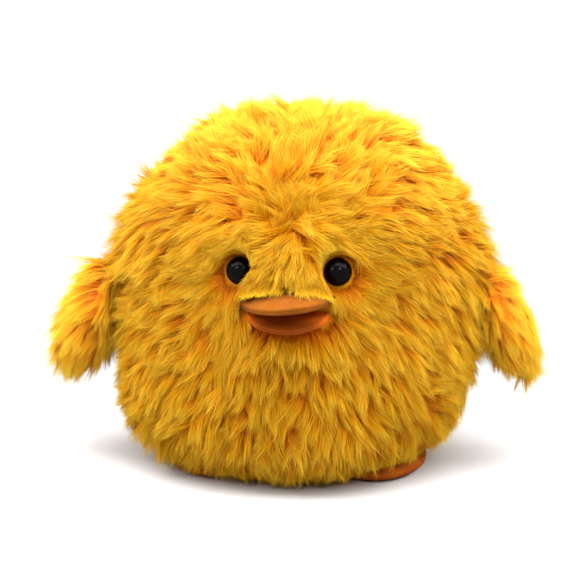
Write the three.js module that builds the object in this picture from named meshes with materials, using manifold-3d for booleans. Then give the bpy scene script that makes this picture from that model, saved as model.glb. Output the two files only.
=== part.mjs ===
// A round plush chick: six long-pile panels sewn round a ball of fibre filling over a pouch of
// pellets, with two shanked eyes and their washers, a two-part felt bill, two flapping wings and
// two felt feet.
//
// Millimetres, +Z up, the chick faces -Y and its left side is +X. The origin is the middle of the
// flat seat that it stands on.
import * as THREE from "three";
import { mergeVertices } from "three/addons/utils/BufferGeometryUtils.js";
import Module from "manifold-3d";

const wasm = await Module();
wasm.setup();

// Body: a stuffed ball, measured to the pile's mean surface, that sags a little onto its seat. The
// tips of the pile stand a few millimetres further out.
const BODY_HALF_WIDTH = 82.5;
const BODY_HALF_DEPTH = 77.5;
const CROWN_HEIGHT = 93.5; // crown above the waist
const WAIST_HEIGHT = 72; // widest level above the seat
const SEAT_PRESS = 5.5; // how much of the ball's roundness the seat presses flat
const SEAT_DEPTH = WAIST_HEIGHT + SEAT_PRESS;
const CROWN_FULLNESS = 2.4; // exponents of the upright outline: 2 is round, more is squarer
const SEAT_FULLNESS = 3.3;

// Skin: pile and knitted backing, cut into panels that meet at sewn seams.
const PILE = 6.5; // from the backing to the pile's mean surface
const BACKING = 1.5;
const SEAT_SHARE = 0.25; // how much of the pile's thickness is left where the seat presses it
const BASE_THICKNESS = 2.5;
const NECK_SEAM_HEIGHT = 90; // seam round the ball that takes in the bill and the wing roots
const SEAM_GAP = 0.3;

// Eyes: a dome moulded with a barbed shank, locked by a washer behind the backing.
const EYE_RADIUS = 6;
const DOME_HEIGHT = 5.4;
const EYE_SPACING = 40.4; // between the two eyes' middles
const EYE_LINE_HEIGHT = NECK_SEAM_HEIGHT + 8.5;
const EYE_CLEARANCE = 0.5;
const EYE_PARTING = 2.6; // how much wider the parted pile is at its tips than at the dome
const SHANK_RADIUS = 2.2;
const SHANK_LENGTH = 13;
const BARB_COUNT = 3;
const BARB_PITCH = 2.6;
const BARB_DEPTH = 0.35;
const BARB_SLOPE = 0.6; // sloping part of a barb, as a share of the pitch
const BARB_START = 4.4; // first barb behind the dome, clear of the backing
const WASHER_RADIUS = 7;
const WASHER_THICKNESS = 2.2;
const WASHER_RIM = 1.1; // thickness at the edge
const WASHER_COLLAR = 2; // width of the thick ring round the bore
const WASHER_SEAT = 0.6; // a flat washer stands off the round backing by this

// Bill: two stuffed felt halves sewn to the face, each an upper layer and an under layer.
const FELT = 1.2;
const BILL_CLEARANCE = 0.5;
const UPPER_BILL_LEVEL = NECK_SEAM_HEIGHT - 2.3;
const BILL_PITCH = 7.5; // between the roots of the two halves
const LOWER_BILL_LEVEL = UPPER_BILL_LEVEL - BILL_PITCH;
const UPPER_BILL = { level: UPPER_BILL_LEVEL, halfWidth: 19.5, reach: 22, halfThickness: 4.4, droop: 4 };
const LOWER_BILL = { level: LOWER_BILL_LEVEL, halfWidth: 16.5, reach: 14, halfThickness: 2.6, droop: 15 };
const LOWER_BILL_OPENS = 8; // degrees down from rest
const LOWER_BILL_CLOSES = 10; // degrees up from rest
const UPPER_BILL_TURNS = [0];
const LOWER_BILL_TURNS = [
  -LOWER_BILL_CLOSES,
  -LOWER_BILL_CLOSES / 2,
  0,
  LOWER_BILL_OPENS / 2,
  LOWER_BILL_OPENS,
];

// Wings: flat stuffed flippers, thin at the sewn root, that hang out from the neck seam.
const WING_LENGTH = 52;
const WING_HALF_BREADTH = 24;
const WING_OUTER_THICKNESS = 15; // from the sewn edge, with the pile standing
const WING_INNER_THICKNESS = 14; // the same, on the face next to the body
const WING_HANG = 63; // degrees below level
const WING_FORWARD = 6; // middle of the root in front of the side seam
const WING_ROOT_RADIUS = 3.4; // the rolled seam along the root
const WING_ROOT_LENGTH = 26;
const WING_STANDOFF = 1.6; // root line outside the pile's surface
const WING_CLEARANCE = 0.6;
const BREADTH_SWELL = { root: 0.32, tip: 0.5 }; // powers: a low one is blunt, 1 is a wedge
const OUTER_SWELL = { root: 0.55, tip: 0.5 };
const INNER_SWELL = { root: 1.4, tip: 0.5 };

// Feet: felt pads under the two sides of the ball, their tops pressed to its backing.
const FOOT_HALF_LENGTH = 32;
const FOOT_HALF_WIDTH = 21;
const FOOT_HEIGHT = 13;
const FOOT_OVERHANG = 8; // outer edge of the foot beyond the edge of the seat
const FOOT_FORWARD = 15; // middle of the foot in front of the side seam
const FOOT_SPLAY = 10; // degrees that the toes turn out
const FOOT_SOLE_CUT = 0.6; // middle of the pad above the floor, as a share of its half height
const FOOT_CLEARANCE = 0.3;

// Pellet pouch inside the filling, on the base.
const POUCH_MARGIN = 9; // filling left round the pouch
const POUCH_HEIGHT = 24;
const POUCH_SAG = 0.4; // widest level of the pouch, as a share of its height

// Facets of the stuffed forms.
const BODY_SIDES = 32;
const BODY_RINGS = 18;
const SMALL_SIDES = 16;
const SMALL_RINGS = 12;
const ROUND_SIDES = 16;
const FAR = 400; // reaches past the whole toy
const TINY = 1e-6; // closer to a pole than this counts as on it

const PILE_COLOUR = 0xf2b01e;
const FELT_COLOUR = 0xe8752a;
const materials = {
  pile: new THREE.MeshStandardMaterial({ color: PILE_COLOUR, roughness: 0.9, metalness: 0 }),
  base: new THREE.MeshStandardMaterial({ color: 0xd99a1c, roughness: 0.95, metalness: 0 }),
  felt: new THREE.MeshStandardMaterial({ color: FELT_COLOUR, roughness: 0.95, metalness: 0 }),
  fibre: new THREE.MeshStandardMaterial({ color: 0xf4f2ec, roughness: 1, metalness: 0 }),
  pouch: new THREE.MeshStandardMaterial({ color: 0xe6e1d6, roughness: 0.9, metalness: 0 }),
  eye: new THREE.MeshStandardMaterial({ color: 0x0b0a0a, roughness: 0.08, metalness: 0 }),
  washer: new THREE.MeshStandardMaterial({ color: 0xf0efe8, roughness: 0.5, metalness: 0 }),
};

// Solids and geometries.
function solidOf(geometry) {
  const bare = geometry.clone();
  bare.deleteAttribute("normal");
  bare.deleteAttribute("uv");
  const merged = mergeVertices(bare, 1e-4);
  return new wasm.Manifold(
    new wasm.Mesh({
      numProp: 3,
      vertProperties: new Float32Array(merged.attributes.position.array),
      triVerts: new Uint32Array(merged.index.array),
    }),
  );
}

function geometryOf(solid) {
  const mesh = solid.getMesh();
  const geometry = new THREE.BufferGeometry();
  geometry.setAttribute("position", new THREE.BufferAttribute(mesh.vertProperties, 3));
  geometry.setIndex(new THREE.BufferAttribute(mesh.triVerts, 1));
  const faceted = geometry.toNonIndexed();
  faceted.computeVertexNormals();
  return faceted;
}

function meshOf(name, solid, material) {
  const mesh = new THREE.Mesh(geometryOf(solid), material);
  mesh.name = name;
  return mesh;
}

// A box between two corners, as a cutter.
function block(low, high) {
  const size = new THREE.Vector3().subVectors(high, low);
  const middle = new THREE.Vector3().addVectors(low, high).multiplyScalar(0.5);
  return solidOf(new THREE.BoxGeometry(size.x, size.y, size.z).translate(middle.x, middle.y, middle.z));
}

function above(level) {
  return block(new THREE.Vector3(-FAR, -FAR, level), new THREE.Vector3(FAR, FAR, FAR));
}

function below(level) {
  return block(new THREE.Vector3(-FAR, -FAR, -FAR), new THREE.Vector3(FAR, FAR, level));
}

// A unit sphere, poles on Z, with each point carried to place(point).
function shapedSphere(sides, rings, place) {
  const geometry = new THREE.SphereGeometry(1, sides, rings).rotateX(Math.PI / 2);
  const points = geometry.attributes.position;
  const point = new THREE.Vector3();
  for (let i = 0; i < points.count; i++) {
    points.setXYZ(i, ...place(point.fromBufferAttribute(points, i)).toArray());
  }
  return geometry;
}

// Body form, at a depth below the tips of the pile.
function halfAxes(depth) {
  return {
    width: BODY_HALF_WIDTH - depth,
    depth: BODY_HALF_DEPTH - depth,
    crown: CROWN_HEIGHT - depth,
    seat: SEAT_DEPTH - depth * SEAT_SHARE,
  };
}

function upright(depth, isAbove) {
  const axes = halfAxes(depth);
  return isAbove
    ? { height: axes.crown, fullness: CROWN_FULLNESS }
    : { height: axes.seat, fullness: SEAT_FULLNESS };
}

// Ellipses in plan, with an upright outline of |r|^n + |z|^n = 1.
function bodyGeometry(depth) {
  const axes = halfAxes(depth);
  return shapedSphere(BODY_SIDES, BODY_RINGS, (p) => {
    const { height, fullness } = upright(depth, p.z > 0);
    const flat = Math.hypot(p.x, p.y);
    const spread = flat > TINY ? Math.pow(flat, 2 / fullness) / flat : 0;
    const rise = Math.sign(p.z) * Math.pow(Math.abs(p.z), 2 / fullness);
    return new THREE.Vector3(
      axes.width * p.x * spread,
      axes.depth * p.y * spread,
      WAIST_HEIGHT + height * rise,
    );
  });
}

function bodyForm(depth) {
  return solidOf(bodyGeometry(depth));
}

// Share of the widest half-axes that the form still has at a level.
function spreadAt(depth, level) {
  const { height, fullness } = upright(depth, level > WAIST_HEIGHT);
  const rise = Math.abs(level - WAIST_HEIGHT) / height;
  return Math.pow(1 - Math.pow(rise, fullness), 1 / fullness);
}

// The front point of the form at a side offset and a level, and the way out of the surface there.
function frontPoint(depth, side, level) {
  const axes = halfAxes(depth);
  const spread = spreadAt(depth, level);
  const forward = axes.depth * Math.sqrt(spread ** 2 - (side / axes.width) ** 2);
  const { height, fullness } = upright(depth, level > WAIST_HEIGHT);
  const rise = (level - WAIST_HEIGHT) / height;
  const climb = (Math.sign(rise) * Math.pow(Math.abs(rise), fullness - 1)) / height;
  const narrow = Math.pow(spread, fullness - 2);
  const out = new THREE.Vector3(
    (narrow * side) / axes.width ** 2,
    (-narrow * forward) / axes.depth ** 2,
    climb,
  ).normalize();
  return { point: new THREE.Vector3(side, -forward, level), out };
}

// Skin, backing and filling depths.
const SKIN = PILE + BACKING;
const pileForm = bodyForm(0);
const backingForm = bodyForm(PILE);
const innerForm = bodyForm(SKIN);

// Eyes: the placement turns the lathe's +Y axis out of the face.
const EYE_SIDES = { left: 1, right: -1 };
const PILE_DEPTH_OVER_EYE = 2 * PILE;

function eyePlacement(side) {
  const { point, out } = frontPoint(PILE, (side * EYE_SPACING) / 2, EYE_LINE_HEIGHT);
  const turn = new THREE.Quaternion().setFromUnitVectors(new THREE.Vector3(0, 1, 0), out);
  return new THREE.Matrix4().compose(point, turn, new THREE.Vector3(1, 1, 1));
}

function lathe(profile, sides = ROUND_SIDES) {
  return new THREE.LatheGeometry(profile, sides);
}

// Dome, flat back, then the shank with barbs that point back towards the dome.
function eyeGeometry() {
  const foot = SEAM_GAP;
  const profile = [new THREE.Vector2(0, foot - SHANK_LENGTH)];
  profile.push(new THREE.Vector2(SHANK_RADIUS - BARB_DEPTH * 2, foot - SHANK_LENGTH));
  for (let i = BARB_COUNT - 1; i >= 0; i--) {
    const top = foot - BARB_START - i * BARB_PITCH;
    profile.push(new THREE.Vector2(SHANK_RADIUS - BARB_DEPTH, top - BARB_PITCH * BARB_SLOPE));
    profile.push(new THREE.Vector2(SHANK_RADIUS, top));
    profile.push(new THREE.Vector2(SHANK_RADIUS - BARB_DEPTH, top));
  }
  profile.push(new THREE.Vector2(SHANK_RADIUS - BARB_DEPTH, foot));
  const dome = new THREE.EllipseCurve(0, foot, EYE_RADIUS, DOME_HEIGHT, 0, Math.PI / 2);
  profile.push(...dome.getPoints(SMALL_RINGS / 2));
  profile[profile.length - 1].x = 0;
  return lathe(profile);
}

// A ring with a raised collar round the shank.
function washerGeometry() {
  const top = -(BACKING + WASHER_SEAT);
  const bottom = top - WASHER_THICKNESS;
  const bore = SHANK_RADIUS + SEAM_GAP;
  return lathe([
    new THREE.Vector2(bore, top),
    new THREE.Vector2(bore, bottom),
    new THREE.Vector2(bore + WASHER_COLLAR, bottom),
    new THREE.Vector2(WASHER_RADIUS, top - WASHER_RIM),
    new THREE.Vector2(WASHER_RADIUS, top),
    new THREE.Vector2(bore, top),
  ]);
}

// The pile parted round an eye, the hole for its shank and the flat that its washer pulls up to.
function eyePocket(placement) {
  const atDome = EYE_RADIUS + EYE_CLEARANCE;
  const reach = PILE_DEPTH_OVER_EYE;
  const hole = SHANK_RADIUS + SEAM_GAP;
  const washer = WASHER_RADIUS + SEAM_GAP;
  const flat = -(BACKING + WASHER_SEAT - SEAM_GAP);
  const profile = [
    new THREE.Vector2(0, -SHANK_LENGTH),
    new THREE.Vector2(washer, -SHANK_LENGTH),
    new THREE.Vector2(washer, flat),
    new THREE.Vector2(hole, flat),
    new THREE.Vector2(hole, 0),
    new THREE.Vector2(atDome, 0),
    new THREE.Vector2(atDome + (EYE_PARTING * reach) / PILE, reach),
    new THREE.Vector2(0, reach),
  ];
  return solidOf(lathe(profile).applyMatrix4(placement));
}

// The room in the filling for a washer and the end of a shank.
function washerPocket(placement) {
  const washer = WASHER_RADIUS + SEAM_GAP;
  const under = -(BACKING + WASHER_SEAT + WASHER_THICKNESS + SEAM_GAP);
  const shank = SHANK_RADIUS + SEAM_GAP;
  const end = -(SHANK_LENGTH + SEAM_GAP);
  const profile = [
    new THREE.Vector2(0, end),
    new THREE.Vector2(shank, end),
    new THREE.Vector2(shank, under),
    new THREE.Vector2(washer, under),
    new THREE.Vector2(washer, 0),
    new THREE.Vector2(0, 0),
  ];
  return solidOf(lathe(profile).applyMatrix4(placement));
}

// Bill halves: flattened ellipsoids rooted on the backing, that droop forwards.
function billRoot(bill) {
  return frontPoint(PILE, 0, bill.level).point;
}

function billPlacement(bill, turn = 0) {
  const root = billRoot(bill);
  const droop = new THREE.Matrix4().makeRotationX(THREE.MathUtils.degToRad(bill.droop + turn));
  return new THREE.Matrix4().makeTranslation(root.x, root.y, root.z).multiply(droop);
}

function billForm(bill, inset, turn = 0) {
  const size = new THREE.Vector3(bill.halfWidth, bill.reach, bill.halfThickness).subScalar(inset);
  const form = shapedSphere(SMALL_SIDES, SMALL_RINGS, (p) => p.clone().multiply(size));
  return solidOf(form.applyMatrix4(billPlacement(bill, turn)));
}

// Everything on one side of a bill's sewn edge, which droops with it.
function billSide(bill, side) {
  const from = (side * SEAM_GAP) / 2;
  const low = new THREE.Vector3(-FAR, -FAR, Math.min(from, side * FAR));
  const high = new THREE.Vector3(FAR, FAR, Math.max(from, side * FAR));
  const size = new THREE.Vector3().subVectors(high, low);
  const middle = new THREE.Vector3().addVectors(low, high).multiplyScalar(0.5);
  const box = new THREE.BoxGeometry(size.x, size.y, size.z).translate(middle.x, middle.y, middle.z);
  return solidOf(box.applyMatrix4(billPlacement(bill)));
}

// The backing as a bill meets it at each of its turns, which bevels the root above and below.
function rootFace(bill, turns) {
  const root = billRoot(bill);
  const faces = turns.map((turn) => {
    const face = bodyGeometry(PILE - SEAM_GAP).translate(-root.x, -root.y, -root.z);
    face.rotateX(THREE.MathUtils.degToRad(-turn));
    return solidOf(face.translate(root.x, root.y, root.z));
  });
  return faces.reduce((all, one) => all.add(one));
}

function billPieces(bill, turns) {
  const face = rootFace(bill, turns);
  const felt = billForm(bill, 0).subtract(billForm(bill, FELT)).subtract(face);
  return {
    top: felt.intersect(billSide(bill, 1)),
    under: felt.intersect(billSide(bill, -1)),
    fill: billForm(bill, FELT + SEAM_GAP).subtract(face),
  };
}

// The pile is parted round the bill, and round the lower half wherever it swings to.
function billPocket() {
  const swept = LOWER_BILL_TURNS.map((turn) => billForm(LOWER_BILL, -BILL_CLEARANCE, turn));
  const room = swept.reduce((all, one) => all.add(one), billForm(UPPER_BILL, -BILL_CLEARANCE));
  return room.subtract(backingForm);
}

// Wings: the root line runs front to back, and the wing's own +X leads to its tip.
function wingHinge(side) {
  const spread = Math.sqrt(spreadAt(0, NECK_SEAM_HEIGHT) ** 2 - (WING_FORWARD / BODY_HALF_DEPTH) ** 2);
  const out = BODY_HALF_WIDTH * spread + WING_STANDOFF;
  return new THREE.Vector3(side * out, -WING_FORWARD, NECK_SEAM_HEIGHT);
}

// A swell from 0 at the root to 1 and back to 0 at the tip.
function swell(t, powers) {
  const peak = powers.root / (powers.root + powers.tip);
  return Math.pow(t / peak, powers.root) * Math.pow((1 - t) / (1 - peak), powers.tip);
}

// The wing's own +Z is its outer face.
function wingForm() {
  const flipper = shapedSphere(SMALL_SIDES, SMALL_RINGS, (p) => {
    const t = THREE.MathUtils.clamp((1 - p.z) / 2, 0, 1);
    const round = Math.hypot(p.x, p.y);
    const across = round > TINY ? p.x / round : 0;
    const through = round > TINY ? p.y / round : 0;
    const outer = WING_OUTER_THICKNESS * swell(t, OUTER_SWELL);
    const inner = WING_INNER_THICKNESS * swell(t, INNER_SWELL);
    return new THREE.Vector3(
      WING_LENGTH * t,
      -WING_HALF_BREADTH * across * swell(t, BREADTH_SWELL),
      through * (through > 0 ? outer : inner),
    );
  });
  const seam = new THREE.CylinderGeometry(WING_ROOT_RADIUS, WING_ROOT_RADIUS, WING_ROOT_LENGTH, ROUND_SIDES);
  return solidOf(flipper).add(solidOf(seam));
}

// The groove in the pile that a wing's rolled root turns in.
function wingGroove(side) {
  const radius = WING_ROOT_RADIUS + WING_CLEARANCE;
  const length = WING_ROOT_LENGTH + 2 * WING_CLEARANCE;
  const hinge = wingHinge(side);
  const groove = new THREE.CylinderGeometry(radius, radius, length, ROUND_SIDES);
  return solidOf(groove.translate(hinge.x, hinge.y, hinge.z));
}

function wingGroup(name, side) {
  const form = wingForm();
  const half = SEAM_GAP / 2;
  const wing = new THREE.Group();
  wing.name = `${name}_wing`;
  wing.position.copy(wingHinge(side));
  wing.rotation.set(0, THREE.MathUtils.degToRad(WING_HANG), side > 0 ? 0 : Math.PI, "ZYX");
  wing.add(meshOf(`${name}_wing_outer`, form.intersect(above(half)), materials.pile));
  wing.add(meshOf(`${name}_wing_inner`, form.intersect(below(-half)), materials.pile));
  return wing;
}

// Feet: pads with a flat sole, whose upper side is pressed to the underside of the ball.
function footForm(side, inset) {
  const half = FOOT_HEIGHT / 2;
  const size = new THREE.Vector3(FOOT_HALF_WIDTH, FOOT_HALF_LENGTH, half).subScalar(inset);
  const pad = shapedSphere(SMALL_SIDES, SMALL_RINGS, (p) => p.clone().multiply(size));
  pad.rotateZ(side * THREE.MathUtils.degToRad(FOOT_SPLAY));
  const out = BODY_HALF_WIDTH * spreadAt(0, 0) + FOOT_OVERHANG - FOOT_HALF_WIDTH;
  return solidOf(pad.translate(side * out, -FOOT_FORWARD, half * FOOT_SOLE_CUT));
}

function footPieces(name, side) {
  const underside = bodyForm(PILE - SEAM_GAP);
  const overSole = above(FELT + SEAM_GAP);
  const outside = footForm(side, 0).intersect(above(0)).subtract(underside);
  const shell = outside.subtract(footForm(side, FELT)).intersect(overSole);
  const sole = outside.intersect(below(FELT));
  const fill = footForm(side, FELT + SEAM_GAP).intersect(overSole).subtract(underside);
  return [
    meshOf(`${name}_foot_upper`, shell, materials.felt),
    meshOf(`${name}_foot_sole`, sole, materials.felt),
    meshOf(`${name}_foot_fill`, fill, materials.fibre),
  ];
}

// The room that the feet press in the pile.
function feetPocket() {
  const feet = footForm(1, -FOOT_CLEARANCE).add(footForm(-1, -FOOT_CLEARANCE));
  return feet.subtract(backingForm);
}

// Panels: the skin, less what is sewn into it, cut along its seams.
const placements = Object.fromEntries(
  Object.entries(EYE_SIDES).map(([name, side]) => [name, eyePlacement(side)]),
);
const skin = Object.keys(EYE_SIDES)
  .map((name) => eyePocket(placements[name]))
  .concat(billPocket(), wingGroove(1), wingGroove(-1), feetPocket())
  .reduce((rest, cut) => rest.subtract(cut), pileForm.subtract(innerForm));

// The part of the skin between limits along each axis, drawn in by half a seam at each limit.
function panel(low, high) {
  const half = SEAM_GAP / 2;
  return skin.intersect(block(low.clone().addScalar(half), high.clone().subScalar(half)));
}

const baseTop = BASE_THICKNESS + SEAM_GAP / 2;
const neck = NECK_SEAM_HEIGHT;
const panels = {
  face_panel: panel(new THREE.Vector3(-FAR, -FAR, neck), new THREE.Vector3(FAR, 0, FAR)),
  crown_panel: panel(new THREE.Vector3(-FAR, 0, neck), new THREE.Vector3(FAR, FAR, FAR)),
  belly_panel: panel(new THREE.Vector3(-FAR, -FAR, baseTop), new THREE.Vector3(FAR, 0, neck)),
  back_left_panel: panel(new THREE.Vector3(0, 0, baseTop), new THREE.Vector3(FAR, FAR, neck)),
  back_right_panel: panel(new THREE.Vector3(-FAR, 0, baseTop), new THREE.Vector3(0, FAR, neck)),
};
const base = pileForm.intersect(above(0)).intersect(below(BASE_THICKNESS)).subtract(feetPocket());

// Filling, and the pouch that weighs the seat down.
function pouchForm(grow) {
  const floor = BASE_THICKNESS + SEAM_GAP;
  const room = spreadAt(SKIN, floor + POUCH_HEIGHT / 2);
  const axes = halfAxes(SKIN);
  const size = new THREE.Vector3(
    axes.width * room - POUCH_MARGIN,
    axes.depth * room - POUCH_MARGIN,
    POUCH_HEIGHT * (1 - POUCH_SAG),
  ).addScalar(grow);
  const bag = shapedSphere(SMALL_SIDES, SMALL_RINGS, (p) => p.clone().multiply(size));
  const middle = floor + POUCH_HEIGHT * POUCH_SAG;
  return solidOf(bag.translate(0, 0, middle)).intersect(above(floor));
}

const filling = bodyForm(SKIN + SEAM_GAP)
  .intersect(above(BASE_THICKNESS + SEAM_GAP))
  .subtract(pouchForm(SEAM_GAP))
  .subtract(washerPocket(placements.left))
  .subtract(washerPocket(placements.right));

// Assembly.
const chick = new THREE.Group();
chick.name = "plush_chick";
for (const [name, solid] of Object.entries(panels)) {
  chick.add(meshOf(name, solid, materials.pile));
}
chick.add(meshOf("base_panel", base, materials.base));
chick.add(meshOf("stuffing", filling, materials.fibre));
chick.add(meshOf("pellet_pouch", pouchForm(0), materials.pouch));

for (const [name, placement] of Object.entries(placements)) {
  const socket = new THREE.Group();
  socket.name = `${name}_eye_socket`;
  socket.applyMatrix4(placement);
  const eye = new THREE.Mesh(eyeGeometry(), materials.eye);
  eye.name = `${name}_eye`;
  const washer = new THREE.Mesh(washerGeometry(), materials.washer);
  washer.name = `${name}_eye_washer`;
  socket.add(eye, washer);
  chick.add(socket);
}

const bills = {
  upper: billPieces(UPPER_BILL, UPPER_BILL_TURNS),
  lower: billPieces(LOWER_BILL, LOWER_BILL_TURNS),
};
for (const [name, { top, under, fill }] of Object.entries(bills)) {
  chick.add(meshOf(`${name}_bill_top`, top, materials.felt));
  chick.add(meshOf(`${name}_bill_under`, under, materials.felt));
  chick.add(meshOf(`${name}_bill_fill`, fill, materials.fibre));
}

for (const [name, side] of Object.entries(EYE_SIDES)) {
  chick.add(wingGroup(name, side));
  chick.add(...footPieces(name, side));
}

export default chick;
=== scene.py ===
# %% [markdown]
# # A round plush chick
# The chick is a ball of long golden pile on a knitted backing, with two black dome eyes, an open
# felt bill, two floppy wings and two felt feet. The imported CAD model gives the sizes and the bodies
# that move. This lesson dresses it: it replaces each plain solid by a finished piece that rides on
# the same body.

import math

import bpy
import numpy as np
from mathutils import Matrix


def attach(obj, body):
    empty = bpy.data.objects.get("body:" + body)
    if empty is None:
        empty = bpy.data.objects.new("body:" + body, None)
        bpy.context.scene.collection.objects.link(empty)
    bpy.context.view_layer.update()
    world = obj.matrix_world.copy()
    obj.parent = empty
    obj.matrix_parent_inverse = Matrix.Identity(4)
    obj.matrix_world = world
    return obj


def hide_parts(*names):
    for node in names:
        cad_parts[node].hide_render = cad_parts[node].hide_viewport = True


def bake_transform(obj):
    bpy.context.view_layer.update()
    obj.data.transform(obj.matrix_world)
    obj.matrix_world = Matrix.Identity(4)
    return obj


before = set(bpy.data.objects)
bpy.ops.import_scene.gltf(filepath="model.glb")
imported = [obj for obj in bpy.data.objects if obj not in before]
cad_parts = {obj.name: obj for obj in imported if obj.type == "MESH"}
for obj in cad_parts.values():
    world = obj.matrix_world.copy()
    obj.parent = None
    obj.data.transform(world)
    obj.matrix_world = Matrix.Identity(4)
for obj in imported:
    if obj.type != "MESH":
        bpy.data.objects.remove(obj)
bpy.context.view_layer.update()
MM = 0.001
SIDES = {"left": 1, "right": -1}
rng = np.random.default_rng(20)

# %% [markdown]
# ## Meshes from arrays
# Every new piece is worked out as whole numpy arrays in millimetres and put into a mesh in one go.
# Calling from_pydata with lists would also work, but the pile alone has over a million points, so
# foreach_set is used: it copies an array straight into the mesh.

# %% Put arrays into a mesh
MAP_NAME = "OFBake"


def put_mesh(name, points, triangles, material, uv=None, line=None):
    """A smooth mesh object from points in mm, corner numbers of triangles and a UV for each corner. An
    edge between two points of the same line number above 0 is sharp; a point of line -1 is on all."""
    mesh = bpy.data.meshes.new(name)
    mesh.vertices.add(len(points))
    mesh.vertices.foreach_set("co", (points * MM).astype(np.float32).ravel())
    mesh.loops.add(triangles.size)
    mesh.loops.foreach_set("vertex_index", triangles.astype(np.int32).ravel())
    mesh.polygons.add(len(triangles))
    mesh.polygons.foreach_set("loop_start", np.arange(0, triangles.size, 3, dtype=np.int32))
    mesh.polygons.foreach_set("use_smooth", np.ones(len(triangles), dtype=bool))
    if uv is not None:
        layer = mesh.uv_layers.new(name=MAP_NAME)
        layer.data.foreach_set("uv", uv.astype(np.float32).ravel())
    mesh.update(calc_edges=True)
    mesh.validate()
    if line is not None:
        ends = np.empty(2 * len(mesh.edges), dtype=np.int32)
        mesh.edges.foreach_get("vertices", ends)
        first, second = line[ends].reshape(-1, 2).T
        is_sharp = ((first == second) | (first < 0) | (second < 0)) & (first != 0) & (second != 0)
        mesh.attributes.new("sharp_edge", "BOOLEAN", "EDGE").data.foreach_set("value", is_sharp)
    mesh.materials.append(material)
    piece = bpy.data.objects.new(name, mesh)
    bpy.context.scene.collection.objects.link(piece)
    return piece


def dress(piece, body, slot, *nodes):
    """Let a piece ride on a body and hide the CAD nodes that it stands for. The slot is not used."""
    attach(piece, body)
    if nodes:
        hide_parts(*nodes)
    return piece


# %% Grids of rings
def grid_triangles(rows, columns):
    """Two triangles for each cell of a grid whose last column joins its first."""
    row, column = np.meshgrid(np.arange(rows - 1), np.arange(columns), indexing="ij")
    beside = (column + 1) % columns
    a = row * columns + column
    b = row * columns + beside
    c = a + columns
    d = b + columns
    return np.concatenate([np.stack([a, b, d], -1), np.stack([a, d, c], -1)]).reshape(-1, 3)


def closed_grid(points):
    """Points and triangles of a grid of rings, (rows, columns, 3), with a fan over each end ring."""
    rows, columns = points.shape[:2]
    ends = np.stack([points[0].mean(0), points[-1].mean(0)])
    corners = np.concatenate([points.reshape(-1, 3), ends])
    ring = np.arange(columns)
    beside = (ring + 1) % columns
    first = np.full(columns, rows * columns)
    last_row = (rows - 1) * columns
    start_fan = np.stack([first, beside, ring], -1)
    end_fan = np.stack([first + 1, last_row + ring, last_row + beside], -1)
    triangles = np.concatenate([grid_triangles(rows, columns), start_fan, end_fan])
    return corners, triangles


def full_turn(columns):
    """Equal angles once round, without repeating the first."""
    return np.linspace(0, 2 * math.pi, columns, endpoint=False)


def to_side(rings, side):
    """Rings of a left-hand piece, or for side -1 their mirror image, run backwards to face outwards."""
    mirrored = rings * np.array([side, 1, 1])
    return mirrored if side > 0 else mirrored[:, ::-1]


print("triangles of 3 rings of 8 points:", len(grid_triangles(3, 8)))

# %% [markdown]
# ## Small tools for fields
# The pile's length, lift and lie change smoothly over the ball. They could be painted by hand as
# weights. Here they are sums of soft steps and soft spots, and a wavy noise made of a few sine waves,
# so every lock's numbers come from its own place and the coat can be changed by naming an area.

# %% Vectors, turns, steps and noise
DOWN = np.array([0.0, 0.0, -1.0])
TINY = 1e-9
WAVE_COUNT = 7
WAVE_STRETCH = (0.7, 1.4)
WAVE_SUM = 3.2


def unit(v):
    """Vectors of length 1."""
    return v / np.maximum(np.linalg.norm(v, axis=-1, keepdims=True), TINY)


def dot(a, b):
    """Dot product that keeps its last axis, for scaling vectors by it."""
    return np.sum(a * b, axis=-1, keepdims=True)


def tangent(v, normals):
    """The part of v that lies along the surface, made length 1."""
    return unit(v - dot(v, normals) * normals)


def turn_about_x(degrees):
    """The matrix that turns vectors about X, from Y towards Z."""
    a = math.radians(degrees)
    return np.array([[1, 0, 0], [0, math.cos(a), -math.sin(a)], [0, math.sin(a), math.cos(a)]])


def turn_about_y(degrees):
    """The matrix that turns vectors about Y, from Z towards X."""
    a = math.radians(degrees)
    return np.array([[math.cos(a), 0, math.sin(a)], [0, 1, 0], [-math.sin(a), 0, math.cos(a)]])


def soft_step(low, high, value):
    """0 below low, 1 above high and a smooth cubic between; low may be the larger."""
    t = np.clip((value - low) / (high - low), 0, 1)
    return t * t * (3 - 2 * t)


def soft_sign(value, width):
    """From -1 to 1 through 0, halfway there at the width."""
    return value / (np.abs(value) + width)


def near(points, middle, reach):
    """A soft spot: 1 at the middle, fading over the reach, which may differ along X, Y and Z."""
    return np.exp(-np.sum(((points - middle) / reach) ** 2, -1))


def waves(points, length, seed):
    """Smooth noise of about -1 to 1: seven sine waves of about one wavelength in random directions."""
    source = np.random.default_rng(seed)
    ways = unit(source.normal(size=(WAVE_COUNT, 3))) * (2 * np.pi / length)
    ways = ways * source.uniform(*WAVE_STRETCH, (WAVE_COUNT, 1))
    starts = source.uniform(0, 2 * np.pi, WAVE_COUNT)
    return np.sin(points @ ways.T + starts).sum(-1) / WAVE_SUM


print("halfway up a soft step:", soft_step(0, 10, 5))

# %% [markdown]
# ## The ball
# The body is a ball that sags onto its seat: an ellipse in plan, and upright an outline between a
# circle and a square, fuller than round. A sculpted sphere would do for one surface, but here many
# layers must follow each other, so the ball is a formula. Its sizes are those of the pile's mean
# surface, and a depth below that surface gives the backing and the filling.

# %% The ball's formula
BODY_HALF_WIDTH = 82.5
BODY_HALF_DEPTH = 77.5
CROWN_HEIGHT = 93.5
WAIST_HEIGHT = 72
SEAT_PRESS = 5.5
SEAT_DEPTH = WAIST_HEIGHT + SEAT_PRESS
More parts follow.
